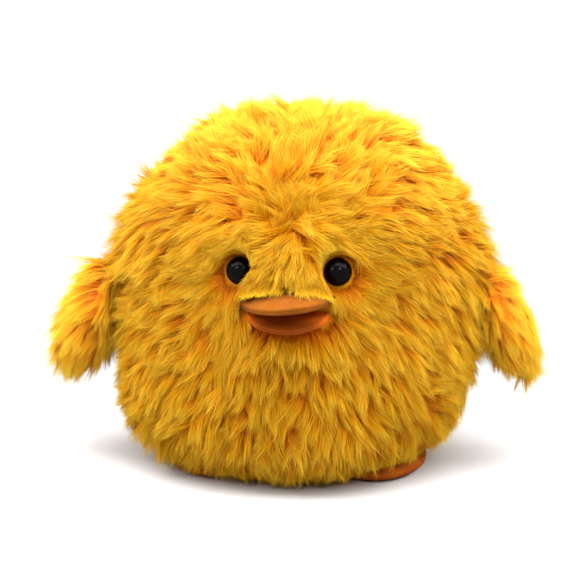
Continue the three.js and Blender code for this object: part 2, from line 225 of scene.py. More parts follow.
# Powers of the upright outline: 2 is round, and more is squarer.
CROWN_FULLNESS = 2.4
SEAT_FULLNESS = 3.3
PILE = 6.5
# The share of a depth that is left where the seat presses the pile.
SEAT_SHARE = 0.25


def upright(depth, is_above):
    """Height of the outline above or below the waist, and its power."""
    height = np.where(is_above, CROWN_HEIGHT - depth, SEAT_DEPTH - depth * SEAT_SHARE)
    fullness = np.where(is_above, CROWN_FULLNESS, SEAT_FULLNESS)
    return height, fullness


def ball_point(turn, climb, depth):
    """Turn from the face towards +X, climb from the waist: the powers of cosine and sine that make
    r^n + z^n = 1 upright, and an ellipse in plan."""
    height, fullness = upright(depth, climb > 0)
    spread = np.cos(climb) ** (2 / fullness)
    rise = np.sign(climb) * np.abs(np.sin(climb)) ** (2 / fullness)
    side = (BODY_HALF_WIDTH - depth) * spread * np.sin(turn)
    ahead = -(BODY_HALF_DEPTH - depth) * spread * np.cos(turn)
    return np.stack([side, ahead, WAIST_HEIGHT + height * rise], -1)


def ball_normal(points, depth):
    """The way out of the ball: the gradient of r^n + z^n."""
    level = points[..., 2] - WAIST_HEIGHT
    height, fullness = upright(depth, level > 0)
    width = BODY_HALF_WIDTH - depth
    length = BODY_HALF_DEPTH - depth
    spread = np.hypot(points[..., 0] / width, points[..., 1] / length)
    narrow = np.maximum(spread, TINY) ** (fullness - 2)
    climb = np.sign(level) * (np.abs(level) / height) ** (fullness - 1) / height
    flat_x = narrow * points[..., 0] / width**2
    flat_y = narrow * points[..., 1] / length**2
    return unit(np.stack([flat_x, flat_y, climb], -1))


def underside(x, y, depth):
    """Height of the ball's underside over a point of the floor."""
    height, fullness = upright(depth, False)
    spread = np.hypot(x / (BODY_HALF_WIDTH - depth), y / (BODY_HALF_DEPTH - depth))
    drop = np.maximum(1 - spread**fullness, 0) ** (1 / fullness)
    return WAIST_HEIGHT - height * drop


def spread_at(level, depth):
    """Share of the ball's full width at a level: r from r^n + z^n = 1."""
    height, fullness = upright(depth, level > WAIST_HEIGHT)
    return float((1 - (abs(level - WAIST_HEIGHT) / height) ** fullness) ** (1 / fullness))


def climb_at(level, depth):
    """The climb whose ring lies at a level."""
    height, fullness = upright(depth, level > WAIST_HEIGHT)
    rise = np.abs(level - WAIST_HEIGHT) / height
    return np.sign(level - WAIST_HEIGHT) * np.arcsin(np.minimum(rise, 1) ** (fullness / 2))


def ball_grid(rows, columns):
    """Turns and climbs of a grid of rings, from just above the seat's pole to just below the crown's."""
    climb = np.linspace(-math.pi / 2, math.pi / 2, rows + 2)[1:-1]
    return np.meshgrid(full_turn(columns), climb)


print("ball:", 2 * BODY_HALF_WIDTH, "x", 2 * BODY_HALF_DEPTH, "x", WAIST_HEIGHT + CROWN_HEIGHT, "mm")

# %% [markdown]
# ## Finishes
# Pile is coloured along each strand: deep orange at the root, where little light gets in, gold along
# the middle and pale yellow at the tip. A picture could be wrapped on, but each strand's UV map holds
# its root-to-tip place and its own tint, so no picture is needed and the colour bends with the lock.


# %% Node helpers
def new_material(name):
    """A material with nodes, and its tree and Principled shader."""
    material = bpy.data.materials.new(name)
    material.use_nodes = True
    tree = material.node_tree
    shader = tree.nodes["Principled BSDF"]
    return material, tree, shader


def set_inputs(node, values):
    """Set a node's inputs by name."""
    for name, value in values.items():
        node.inputs[name].default_value = value


def add_node(tree, kind, **values):
    """A node with its properties and its inputs set by name."""
    node = tree.nodes.new(kind)
    for name, value in values.items():
        if hasattr(node, name):
            setattr(node, name, value)
        else:
            node.inputs[name.replace("_", " ")].default_value = value
    return node


def link(tree, *joins):
    """Join nodes. Each join is a node, its output, the next node and that one's input, by name or number."""
    for source, output, target, socket in joins:
        tree.links.new(source.outputs[output], target.inputs[socket])


def ramp_stops(node, stops):
    """Colour stops of a ramp, from a list of (place, colour)."""
    ramp = node.color_ramp
    ramp.elements[0].position = stops[0][0]
    ramp.elements[0].color = (*stops[0][1], 1)
    ramp.elements[1].position = stops[-1][0]
    ramp.elements[1].color = (*stops[-1][1], 1)
    for place, colour in stops[1:-1]:
        ramp.elements.new(place).color = (*colour, 1)


def linear(red, green, blue):
    """A colour as a screen shows it, 0 to 255, in the renderer's linear light."""
    part = np.array([red, green, blue]) / 255
    return tuple(np.where(part <= 0.04045, part / 12.92, ((part + 0.055) / 1.055) ** 2.4).tolist())


print("mid grey in linear light:", round(linear(128, 128, 128)[0], 3))

# %% Pile finish
PILE_STOPS = [
    (0.0, linear(222, 112, 4)),
    (0.35, linear(242, 150, 8)),
    (0.70, linear(254, 198, 24)),
    (1.0, linear(255, 230, 74)),
]
PILE_TINTS = {"Value": (0.70, 1.14), "Hue": (0.484, 0.512), "Saturation": (1.025, 0.975)}
PILE_SHEEN = linear(255, 200, 40)


def pile_finish():
    """Colour by the strand's own map: u runs from root to tip, and v is its tint, which shifts the
    colour's value, hue and saturation."""
    material, tree, shader = new_material("golden pile")
    place = add_node(tree, "ShaderNodeUVMap", uv_map=MAP_NAME)
    split = add_node(tree, "ShaderNodeSeparateXYZ")
    along = add_node(tree, "ShaderNodeValToRGB")
    ramp_stops(along, PILE_STOPS)
    colour = add_node(tree, "ShaderNodeHueSaturation")
    link(tree, (place, "UV", split, "Vector"), (split, "X", along, "Fac"))
    link(tree, (along, "Color", colour, "Color"), (colour, "Color", shader, "Base Color"))
    for name, (low, high) in PILE_TINTS.items():
        shift = add_node(tree, "ShaderNodeMapRange", To_Min=low, To_Max=high)
        link(tree, (split, "Y", shift, "Value"), (shift, "Result", colour, name))
    set_inputs(shader, {"Roughness": 0.6, "Diffuse Roughness": 1.0, "Specular IOR Level": 0.1})
    set_inputs(shader, {"Sheen Weight": 0.3, "Sheen Roughness": 0.4, "Sheen Tint": (*PILE_SHEEN, 1)})
    return material


golden_pile = pile_finish()
print("pile colours:", len(PILE_STOPS))


# %% Fibres that felt, knit and filling share
def fibre_group():
    """A group for felted or knitted cloth: a mottle from 0 to 1 and a height of fine tangled fibres."""
    group = bpy.data.node_groups.new("tangled fibres", "ShaderNodeTree")
    for name in ("Fibre Scale", "Mottle Scale"):
        group.interface.new_socket(name, in_out="INPUT", socket_type="NodeSocketFloat")
    for name in ("Mottle", "Height"):
        group.interface.new_socket(name, in_out="OUTPUT", socket_type="NodeSocketFloat")
    entry = group.nodes.new("NodeGroupInput")
    leave = group.nodes.new("NodeGroupOutput")
    place = add_node(group, "ShaderNodeTexCoord")
    fibres = add_node(group, "ShaderNodeTexNoise", Detail=6.0, Roughness=0.75, Distortion=2.5)
    mottle = add_node(group, "ShaderNodeTexNoise", Detail=3.0, Roughness=0.6)
    link(group, (place, "Object", fibres, "Vector"), (place, "Object", mottle, "Vector"))
    link(group, (entry, "Fibre Scale", fibres, "Scale"), (entry, "Mottle Scale", mottle, "Scale"))
    link(group, (fibres, "Fac", leave, "Height"), (mottle, "Fac", leave, "Mottle"))
    return group


tangled_fibres = fibre_group()
print("nodes of the fibre group:", len(tangled_fibres.nodes))


# %% Cloth finishes
KNIT_LOOK = {"fibre_scale": 900.0, "mottle_scale": 120.0, "bump": 0.8, "sheen": 0.1}
FELT_LOOK = {"fibre_scale": 1400.0, "mottle_scale": 160.0, "bump": 0.35, "sheen": 0.0}
FIBRE_LOOK = {"fibre_scale": 500.0, "mottle_scale": 90.0, "bump": 1.0, "sheen": 0.2}
MOTTLE_STOPS = (0.36, 0.64)
# A fade is where it starts and ends along Y, in mm, and the share of the colour at each.
# Painted shade: the upper bill is darker at its root, where the pile that falls over it shades it.
UPPER_BILL_PAINTED_SHADE = (-78, -90, 0.55, 1.0)
# Painted shade: the lower bill is darker towards its lip.
LOWER_BILL_PAINTED_SHADE = (-76, -83, 1.0, 0.36)


def fade_along_y(tree, start, end, at_start, at_end):
    """A colour node whose value goes from one share to another between two places along Y."""
    place = add_node(tree, "ShaderNodeTexCoord")
    split = add_node(tree, "ShaderNodeSeparateXYZ")
    share = add_node(tree, "ShaderNodeMapRange", interpolation_type="SMOOTHSTEP")
    set_inputs(share, {"From Min": start * MM, "From Max": end * MM, "To Min": at_start, "To Max": at_end})
    faded = add_node(tree, "ShaderNodeHueSaturation")
    link(tree, (place, "Object", split, "Vector"), (split, "Y", share, "Value"))
    link(tree, (share, "Result", faded, "Value"))
    return faded


def cloth_finish(name, dark, pale, look, fade=None):
    """Cloth coloured between two colours by its mottle and fibres, with the fibres as bump. A fade, where
    given, paints light and shade along Y.
    """
    material, tree, shader = new_material(name)
    fibres = add_node(tree, "ShaderNodeGroup", node_tree=tangled_fibres)
    set_inputs(fibres, {"Fibre Scale": look["fibre_scale"], "Mottle Scale": look["mottle_scale"]})
    both = add_node(tree, "ShaderNodeMath", operation="ADD")
    half = add_node(tree, "ShaderNodeMath", operation="MULTIPLY")
    half.inputs[1].default_value = 0.5
    colour = add_node(tree, "ShaderNodeValToRGB")
    ramp_stops(colour, list(zip(MOTTLE_STOPS, (dark, pale))))
    bump = add_node(tree, "ShaderNodeBump", Strength=0.7, Distance=look["bump"] * MM)
    link(tree, (fibres, "Mottle", both, 0), (fibres, "Height", both, 1))
    link(tree, (both, "Value", half, 0), (half, "Value", colour, "Fac"))
    if fade:
        faded = fade_along_y(tree, *fade)
        link(tree, (colour, "Color", faded, "Color"), (faded, "Color", shader, "Base Color"))
    else:
        link(tree, (colour, "Color", shader, "Base Color"))
    link(tree, (fibres, "Height", bump, "Height"), (bump, "Normal", shader, "Normal"))
    set_inputs(shader, {"Roughness": 0.92, "Specular IOR Level": 0.15})
    set_inputs(shader, {"Sheen Weight": look["sheen"], "Sheen Roughness": 0.5})
    return material


under_pile = cloth_finish("under pile", linear(238, 146, 6), linear(250, 172, 14), KNIT_LOOK)
orange_felt = cloth_finish(
    "orange felt", linear(142, 74, 11), linear(170, 98, 19), FELT_LOOK, UPPER_BILL_PAINTED_SHADE
)
# Painted light and shade: the lower bill's felt is painted lighter than the other felt, for the upper bill's
# shadow that it lies in, and its fade paints its lip darker, so that all of it looks evenly shaded.
lower_bill_painted_felt = cloth_finish(
    "lower bill felt with painted light", linear(240, 110, 20), linear(255, 126, 28), FELT_LOOK, LOWER_BILL_PAINTED_SHADE
)
foot_felt = cloth_finish("foot felt", linear(176, 80, 14), linear(208, 108, 26), FELT_LOOK)
white_fibre = cloth_finish("white fibre", linear(226, 222, 214), linear(250, 248, 244), FIBRE_LOOK)
print("finishes:", [material.name for material in bpy.data.materials])

# %% [markdown]
# ## Filling and backing
# Inside the pile is a ball of fibre in a knitted backing. Neither shows, but without them light would
# come through the toy between its locks. A stuffed cloth ball could be blown up by a simulation. The
# real one is drawn tight, so both are grids of turn and climb on the ball's formula, flat where they
# stand.

# %% Filling and backing
RING_ROWS = 72
RING_COLUMNS = 120
BASE_THICKNESS = 2.5
BACKING_FLOOR = BASE_THICKNESS - 1
FILLING_DEPTH = PILE + 1.9
BACKING_DEPTH = PILE - 0.3


def ball_rings(depth, floor):
    """A closed grid of the ball at a depth, flattened at a floor level."""
    points = ball_point(*ball_grid(RING_ROWS, RING_COLUMNS), depth)
    points[..., 2] = np.maximum(points[..., 2], floor)
    return closed_grid(points)


filling = put_mesh("fibre_filling", *ball_rings(FILLING_DEPTH, BASE_THICKNESS), white_fibre)
dress(filling, "body", "fibre", "stuffing", "pellet_pouch")
backing = put_mesh("knitted_backing", *ball_rings(BACKING_DEPTH, BACKING_FLOOR), under_pile)
dress(backing, "body", "pile")
print("backing points:", len(backing.data.vertices))

# %% [markdown]
# ## Eyes
# A dome eye is one moulding: a polished dome, a flat back and a shank that goes through the backing.
# A squashed sphere would lack the rim and the back. The CAD dome has few sides, so a lathe with many
# rings replaces it: a profile of radius and height carried round the axis that points out of the face.

# %% Eye places
EYE_RADIUS = 6
DOME_HEIGHT = 5.4
EYE_SPACING = 40.4
EYE_LINE_HEIGHT = 98.5


def face_point(side, level, depth):
    """The front of the ball at a side offset and a level."""
    spread = spread_at(level, depth)
    ahead = (BODY_HALF_DEPTH - depth) * math.sqrt(spread**2 - (side / (BODY_HALF_WIDTH - depth)) ** 2)
    return np.array([side, -ahead, level])


eye_places = {}
for eye_name, eye_side in SIDES.items():
    eye_middle = face_point(eye_side * EYE_SPACING / 2, EYE_LINE_HEIGHT, PILE)
    eye_places[eye_name] = (eye_middle, ball_normal(eye_middle, PILE))
    print(eye_name, "eye at", np.round(eye_middle, 1))

# %% Turn a profile round an axis
EYE_GAP = 0.3
EYE_COLUMNS = 64
SHANK_RADIUS = 2.2
SHANK_LENGTH = 13
SHANK_TIP = 0.7
SHANK_POINT = 1.0
RIM_ROUND = 0.4
RIM_HEIGHT = 0.2
DOME_RINGS = 28
DOME_START = 0.04
DOME_END = math.pi / 2 - 0.02


def lathe(profile, middle, axis):
    """A closed grid: each (radius, height) of the profile is a ring round the axis."""
    across = unit(np.cross(axis, [0.0, 0.0, 1.0]))
    up = np.cross(across, axis)
    angle = full_turn(EYE_COLUMNS)[None, :, None]
    radius = profile[:, 0][:, None, None]
    height = profile[:, 1][:, None, None]
    rings = middle + radius * (np.cos(angle) * across - np.sin(angle) * up) + height * axis
    return closed_grid(rings)


def eye_profile():
    """Shank, flat back, a small rounded rim and a dome that is a quarter of an ellipse."""
    end = [(SHANK_RADIUS * SHANK_TIP, -SHANK_LENGTH), (SHANK_RADIUS, SHANK_POINT - SHANK_LENGTH)]
    back = [(SHANK_RADIUS, 0.0), (EYE_RADIUS - RIM_ROUND, 0.0)]
    rim = [(EYE_RADIUS - RIM_ROUND / 4, 0.6 * RIM_HEIGHT)]
    quarter = np.linspace(DOME_START, DOME_END, DOME_RINGS)
    dome_height = RIM_HEIGHT + (DOME_HEIGHT - RIM_HEIGHT) * np.sin(quarter)
    dome = np.stack([EYE_RADIUS * np.cos(quarter), dome_height], -1)
    return np.concatenate([np.array(end + back + rim), dome]) + np.array([0.0, EYE_GAP])


print("rings of an eye:", len(eye_profile()))


# %% Eyes
def eye_finish():
    """Polished black plastic with faint scuffs in its roughness."""
    material, tree, shader = new_material("polished black")
    place = add_node(tree, "ShaderNodeTexCoord")
    scuffs = add_node(tree, "ShaderNodeTexNoise", Scale=700.0, Detail=4.0, Roughness=0.6)
    spread = add_node(tree, "ShaderNodeMapRange", From_Min=0.35, From_Max=0.75, To_Min=0.03, To_Max=0.08)
    link(tree, (place, "Object", scuffs, "Vector"), (scuffs, "Fac", spread, "Value"))
    link(tree, (spread, "Result", shader, "Roughness"))
    set_inputs(shader, {"Base Color": (*linear(4, 3, 3), 1), "Specular IOR Level": 0.08})
    return material


polished_black = eye_finish()
for eye_name, (eye_middle, eye_axis) in eye_places.items():
    eye = put_mesh(f"{eye_name}_dome_eye", *lathe(eye_profile(), eye_middle, eye_axis), polished_black)
    dress(eye, "body", "eye", f"{eye_name}_eye")
    print(eye.name, "points:", len(eye.data.vertices))


# %% Washers keep their CAD shape
def washer_finish():
    """Milky moulded plastic with a faint cloudiness."""
    material, tree, shader = new_material("milky plastic")
    place = add_node(tree, "ShaderNodeTexCoord")
    cloud = add_node(tree, "ShaderNodeTexNoise", Scale=300.0, Detail=3.0)
    colour = add_node(tree, "ShaderNodeValToRGB")
    ramp_stops(colour, [(0.3, linear(226, 225, 216)), (0.7, linear(243, 242, 236))])
    link(tree, (place, "Object", cloud, "Vector"), (cloud, "Fac", colour, "Fac"))
    link(tree, (colour, "Color", shader, "Base Color"))
    set_inputs(shader, {"Roughness": 0.45})
    return material


milky_plastic = washer_finish()
for eye_name in SIDES:
    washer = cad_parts[f"{eye_name}_eye_washer"]
    washer.data.materials.clear()
    washer.data.materials.append(milky_plastic)
    print(washer.name, "keeps its CAD mesh")

# %% [markdown]
# ## Bill
# Each half of the bill is two layers of felt sewn together round the edge and lightly stuffed, so it
# is thickest near the face and ends in a doubled felt lip. A blown-up cloth would lose that flat lip,
# so a layer is a plate on a polar grid: from the middle out to the lip it goes from its crown down to
# the thickness of the felt, then rolls over the edge. The lips wave a little, as cut felt does.

# %% Felt plate
FELT = 1.2
BILL_TUCK = 1.5
PLATE_ROWS = 26
PLATE_COLUMNS = 120
PLATE_HUB = 0.03
CROWN_POWER = 0.8
LIP_POWER = 3
LIP_ROLL = 0.5 * FELT
LIP_STEPS = 6


def felt_plate(bill, face, wave):
    """A plate in its own frame, -Y to the lip: radius r grows along an ellipse that is cut short
    behind the root, height falls from the crown to the felt's own thickness at the lip."""
    half_width = bill["half_width"]
    reach = bill["reach"]
    angle = full_turn(PLATE_COLUMNS)[None, :]
    r = np.linspace(PLATE_HUB, 1, PLATE_ROWS)[:, None]
    behind = np.sin(angle) < 0
    length = np.where(behind, BILL_TUCK, reach)
    x = half_width * r * np.cos(angle)
    y = -length * r * np.sin(angle)
    far = np.hypot(x / half_width, np.where(behind, 0, y / reach))
    crown = FELT + (bill["half_thickness"] - FELT) * np.maximum(1 - far**2, 0) ** CROWN_POWER
    lip = wave(x / half_width) * far**LIP_POWER
    skin = np.stack([x, y, face * crown + lip], -1)
    roll = np.linspace(0, math.pi / 2, LIP_STEPS + 1)[1:, None]
    out = 1 + LIP_ROLL / reach * np.sin(roll)
    edge_x = half_width * out * np.cos(angle)
    edge_y = -length * out * np.sin(angle)
    edge = np.stack([edge_x, edge_y, face * FELT * np.cos(roll) + lip[-1]], -1)
    seam = np.stack([x, y, lip], -1)[::-1]
    rows = np.concatenate([skin, edge, seam])
    return rows if face > 0 else rows[:, ::-1]


def on_face(points, bill):
    """Roll a bill plate about Y, turn it down by its droop about X and set its root on the backing."""
    turn = turn_about_x(bill["droop"]) @ turn_about_y(bill["roll"])
    return points @ turn.T + face_point(0, bill["level"], PILE)


print("grid of a felt plate:", PLATE_ROWS, "by", PLATE_COLUMNS)

# %% Both halves of the bill
UPPER_BILL = {
    "level": 87.7,
    "half_width": 19.5,
    "reach": 22,
    "half_thickness": 4.4,
    "droop": 4,
    "roll": -2.5,
}
LOWER_BILL = {
    "level": 80.2,
    "half_width": 16.5,
    "reach": 14,
    "half_thickness": 2.6,
    "droop": 15,
    "roll": 0,
}
BILL_SEAM_GAP = 0.04
UPPER_LIP_DIP = 0.1
UPPER_LIP_BOW = 1.9
UPPER_LIP_LIFT = 0.5
UPPER_LIP_WAVE = 2.6
UPPER_LIP_SHIFT = 0.5
LOWER_LIP_DIP = 0.4
LOWER_LIP_RISE = 1.3


def upper_wave(x):
    """Height of the upper lip, with x from -1 to 1 across it: a slight dip and a lift to one side."""
    dip = UPPER_LIP_DIP * np.cos(UPPER_LIP_BOW * x)
    return UPPER_LIP_LIFT * np.sin(UPPER_LIP_WAVE * x + UPPER_LIP_SHIFT) - dip


def lower_wave(x):
    """The lower lip turns up at its corners."""
    return LOWER_LIP_RISE * x**2 - LOWER_LIP_DIP


for half, bill, wave, body, finish in [
    ("upper", UPPER_BILL, upper_wave, "body", orange_felt),
    ("lower", LOWER_BILL, lower_wave, "lower_bill", lower_bill_painted_felt),
]:
    for layer, face in [("top", 1), ("under", -1)]:
        plate = felt_plate(bill, face, wave)
        plate[..., 2] += face * BILL_SEAM_GAP
        placed = on_face(plate, bill)
        felt = put_mesh(f"{half}_bill_{layer}_felt", *closed_grid(placed), finish)
        nodes = [f"{half}_bill_{layer}"] + ([f"{half}_bill_fill"] if layer == "top" else [])
        dress(felt, body, "felt", *nodes)
    print(half, "bill reaches", np.round(placed[..., 1].min(), 1))

# %% [markdown]
# ## Feet and base
# The feet are felt pads under the two sides of the ball. A cushion pressed by a simulated ball would
# settle much like them, but the press is simple enough to write: a foot is a plate whose upper side is
# the lower of its own dome and the ball's underside, and whose inner edge ends where the ball meets the
# floor. The base is a short-pile disc between the feet.

# %% Foot pads
FOOT_HALF_LENGTH = 32
FOOT_HALF_WIDTH = 21
FOOT_HEIGHT = 13
FOOT_OVERHANG = 8
FOOT_OUT = BODY_HALF_WIDTH * spread_at(0, 0) + FOOT_OVERHANG - FOOT_HALF_WIDTH
FOOT_FORWARD = 15
FOOT_SPLAY = 10
FOOT_SOLE_CUT = 0.6
FOOT_HUB = FOOT_OUT + 0.5 * FOOT_HALF_WIDTH
FOOT_GAP = 0.4
FOOT_THINNEST = 0.5
SEAT_RADIUS = (BODY_HALF_WIDTH - PILE) * spread_at(0, PILE)
MISS = 1e3


def first_exit(start, way, half):
    """Distance along each way from start, inside an ellipse round the origin, to its edge."""
    p = start / half
    d = way / half
    a = np.sum(d * d, -1)
    b = np.sum(p * d, -1)
    c = np.sum(p * p) - 1
    return (-b + np.sqrt(np.maximum(b * b - a * c, 0))) / a


def first_entry(start, way, radius):
    """Distance along each way from start to a circle round the origin, or far where it misses."""
    b = way @ start
    c = start @ start - radius**2
    room = b * b - c
    reach = -b - np.sqrt(np.maximum(room, 0))
    return np.where((room > 0) & (reach > 0), reach, MISS)


def plate_rows():
    """Radius shares of a closed plate's rows, out along its sole and back over its top, and which rows
    are the top's."""
    out = np.linspace(PLATE_HUB, 1, PLATE_ROWS)
    back = np.linspace(1, PLATE_HUB, PLATE_ROWS)
    is_top = np.arange(2 * PLATE_ROWS)[:, None] >= PLATE_ROWS
    return np.concatenate([out, back])[:, None], is_top


def foot_plate():
    """The left foot as polar rows, from the sole's middle out to the edge and back over the top."""
    splay = math.radians(FOOT_SPLAY)
    turn = np.array([[math.cos(splay), math.sin(splay)], [-math.sin(splay), math.cos(splay)]])
    angle = full_turn(PLATE_COLUMNS)
    way = np.stack([np.cos(angle), np.sin(angle)], -1)
    hub = np.array([FOOT_HUB, -FOOT_FORWARD])
    middle = np.array([FOOT_OUT, -FOOT_FORWARD])
    half = np.array([FOOT_HALF_WIDTH, FOOT_HALF_LENGTH])
    edge = first_exit((hub - middle) @ turn, way @ turn, half)
    edge = np.minimum(edge, first_entry(hub, way, SEAT_RADIUS))
    r, is_top = plate_rows()
    flat = hub + (r * edge)[..., None] * way
    apart = (flat - middle) @ turn / half
    inside = np.maximum(1 - np.sum(apart**2, -1), 0) ** 0.5
    lift = FOOT_HEIGHT / 2
    dome = lift * FOOT_SOLE_CUT + lift * inside
    sole = np.maximum(lift * FOOT_SOLE_CUT - lift * inside, 0)
    pressed = underside(flat[..., 0], flat[..., 1], PILE) - FOOT_GAP
    top = np.maximum(np.minimum(dome, pressed), sole + FOOT_THINNEST)
    rows = np.concatenate([flat, np.where(is_top, top, sole)[..., None]], -1)
    return rows[:, ::-1]


for foot_name, foot_side in SIDES.items():
    rows = to_side(foot_plate(), foot_side)
    foot = put_mesh(f"{foot_name}_foot_pad", *closed_grid(rows), foot_felt)
    parts = [f"{foot_name}_foot_{part}" for part in ("upper", "sole", "fill")]
    dress(foot, "body", "felt", *parts)
    print(foot.name, "is", np.round(rows[..., 2].max(), 1), "mm high")

# %% Base cloth
BASE_LAP = 4
BASE_DRAW_IN = 5
BASE_TOP = BASE_THICKNESS - 0.6
BASE_BOTTOM = 0.15
# The feet lie where the sine and cosine of the turn from the face pass these fades.
FEET_BESIDE = (0.35, 0.75)
FEET_AHEAD = (-0.8, -0.4)


def base_disc():
    """A flat disc of short pile, drawn in where the feet are: rows out along its sole and back over."""
    angle = full_turn(PLATE_COLUMNS)[None, :]
    at_feet = soft_step(*FEET_BESIDE, np.abs(np.sin(angle))) * soft_step(*FEET_AHEAD, np.cos(angle))
    edge = SEAT_RADIUS + BASE_LAP - BASE_DRAW_IN * at_feet
    r, is_top = plate_rows()
    x = edge * r * np.sin(angle)
    y = -edge * r * np.cos(angle)
    level = np.broadcast_to(np.where(is_top, BASE_TOP, BASE_BOTTOM), x.shape)
    return closed_grid(np.stack([x, y, level], -1)[:, ::-1])


base = put_mesh("base_cloth", *base_disc(), under_pile)
dress(base, "body", "base_cloth", "base_panel")
print("base points:", len(base.data.vertices))

# %% [markdown]
# ## Locks of pile
# Long pile never lies as single hairs: it gathers in locks, wide at the root and drawn together at
# the tip. A particle system would do this in the render, but it leaves no mesh behind, so strands are
# thin meshes. A lock has a guide line that leaves the backing at its lift and bends towards its lie and
# down. A few wisps start round the guide's root and follow it. Each wisp is a flat blade, for its close
# inner fibres, and fine strands round the blade, of only six triangles each.

# %% Lock and strand sizes
BROAD = {"half_width": 0.30, "half_thickness": 0.14, "edge": 0.10, "swell": 0.35}
FINE = {"half_width": 0.17, "half_thickness": 0.06, "edge": 0.05}
BLADE_LEAN = 0.30
BLADE_SIZES = (0.75, 1.25)
BLADE_TAPER = 0.55
BLADE_CORNERS = [-90.0, 30.0, 150.0]
BROAD_PLACES = np.array([0.0, 0.28, 0.54, 0.78, 1.0])
FINE_PLACES = np.array([0.0, 0.42, 1.0])
TINT_WIDTH = 0.006
ROOT_WIDTH = 0.03
EDGE_LEAST = 0.004
LOCK_RADIUS = 3.6
LOCK_WISPS = 4
LOCK_GATHER = 0.28
GATHER_POWER = 1.6
WISP_STRANDS = {"face": 20, "belly": 18, "crown": 15, "back": 12, "shoulder": 18, "wing": 18}
WISP_RADIUS = 1.9
WISP_REACH = (0.75, 1.08)
WISP_CURL = 2.0
WISP_LIFT = 0.8
WISP_TINT = 0.11
WISP_TINTS = (0.05, 0.95)
STRAND_REACH = (0.78, 1.08)
STRAND_LIFT = (0.1, 0.9)
STRAND_STRAY = 0.75
STRAND_TINT = 0.12
STRAND_TINTS = (0.02, 0.98)
print("strands of a lock on the face:", LOCK_WISPS * WISP_STRANDS["face"])

# %% Guide lines
GUIDE_STEPS = 24
BEND_DOWN = math.radians(18)
RISE_SINES = (0.05, 0.9)


def guide_lines(roots, normals, flow, loft, length, sag, bend, press):
    """Walk from each root in small equal steps: the way turns from a high angle to a low one over the
    surface, so that the tip ends at its loft, and it bends sideways and sags downwards as it goes. Press
    is the angle to which a tip may turn back towards a surface that curves away."""
    s = (np.arange(GUIDE_STEPS) + 0.5)[None, :, None] / GUIDE_STEPS
    middle = np.arcsin(np.clip(loft / length, *RISE_SINES))[:, None, None]
    rise = np.maximum(middle + BEND_DOWN * (1 - 2 * s), -press[:, None, None] * s)
    swing = bend[:, None, None] * s
    across = np.cross(normals, flow)[:, None, :]
    along = np.cos(swing) * flow[:, None, :] + np.sin(swing) * across
    way = np.cos(rise) * along + np.sin(rise) * normals[:, None, :]
    way = unit(way + sag[:, None, None] * s * DOWN)
    walk = np.cumsum(way, axis=1) * (length[:, None, None] / GUIDE_STEPS)
    line = np.concatenate([np.zeros_like(walk[:, :1]), walk], axis=1)
    return roots[:, None, :] + line


def at_places(lines, places):
    """The points of guide lines at some places along them, from 0 to 1."""
    return lines[:, np.round(places * GUIDE_STEPS).astype(int)]


print("steps of a guide line:", GUIDE_STEPS)


# %% Wisps of a lock and strands of a wisp
def disc_spots(shape, radius, flow, across):
    """Random spots on a disc that lies on the surface, evenly over its area."""
    angle = rng.uniform(0, 2 * math.pi, shape + (1,))
    far = radius * np.sqrt(rng.uniform(0, 1, shape + (1,)))
    return far * (np.cos(angle) * flow + np.sin(angle) * across)


def lock_wisps(normals, flow, lines, tint_and_painted_light):
    """A lock's wisps start on a disc round its root, lean together a little and curl each its own way
    by the square of the place along them. Gives the wisps' lines, normals, lie and tints."""
    wide = (len(lines), LOCK_WISPS)
    across = np.cross(normals, flow)
    s = np.linspace(0, 1, GUIDE_STEPS + 1)[:, None]
    spot = disc_spots(wide, LOCK_RADIUS, flow[:, None], across[:, None])[:, :, None]
    reach = rng.uniform(*WISP_REACH, wide + (1, 1))
    base = lines[:, None, :1]
    curl = rng.normal(0, WISP_CURL, wide + (1, 1)) * across[:, None, None]
    lift = rng.normal(0, WISP_LIFT, wide + (1, 1)) * normals[:, None, None]
    wisps = base + (lines[:, None] - base) * reach + spot * (1 - LOCK_GATHER * s**GATHER_POWER)
    wisps = wisps + (curl + lift) * s**2
    tint = np.clip(tint_and_painted_light[:, None] + rng.normal(0, WISP_TINT, wide), *WISP_TINTS)
    out = np.repeat(normals, LOCK_WISPS, axis=0)
    lie = np.repeat(flow, LOCK_WISPS, axis=0)
    return wisps.reshape(-1, GUIDE_STEPS + 1, 3), out, lie, tint.ravel()


def wisp_strands(wisps, normals, flow, tint, gather, count):
    """Fine strands that start round a wisp's root and gather towards its tip, some a little longer."""
    wide = (len(wisps), count)
    across = np.cross(normals, flow)
    s = FINE_PLACES[:, None]
    lines = at_places(wisps, FINE_PLACES)[:, None]
    spot = disc_spots(wide, WISP_RADIUS, flow[:, None], across[:, None])[:, :, None]
    up = rng.uniform(*STRAND_LIFT, wide + (1, 1)) * normals[:, None, None]
    reach = rng.uniform(*STRAND_REACH, wide + (1, 1))
    base = lines[:, :, :1]
    close = 1 - gather[:, None, None, None] * s**GATHER_POWER
    strands = base + (lines - base) * reach + spot * close
    strands = strands + up * s + rng.normal(0, STRAND_STRAY, wide + (1, 3)) * s**2
    tint_and_painted_light = np.clip(tint[:, None] + rng.normal(0, STRAND_TINT, wide), *STRAND_TINTS)
    return strands.reshape(-1, len(FINE_PLACES), 3), np.repeat(normals, count, axis=0), tint_and_painted_light.ravel()


print("wisps of a lock:", LOCK_WISPS)


# %% Strand meshes
def tip_triangles(rings):
    """Three triangles from the last ring to the point."""
    last = (rings - 1) * 3
    ring = np.arange(3)
    return np.stack([last + ring, last + (ring + 1) % 3, np.full(3, rings * 3)], -1)


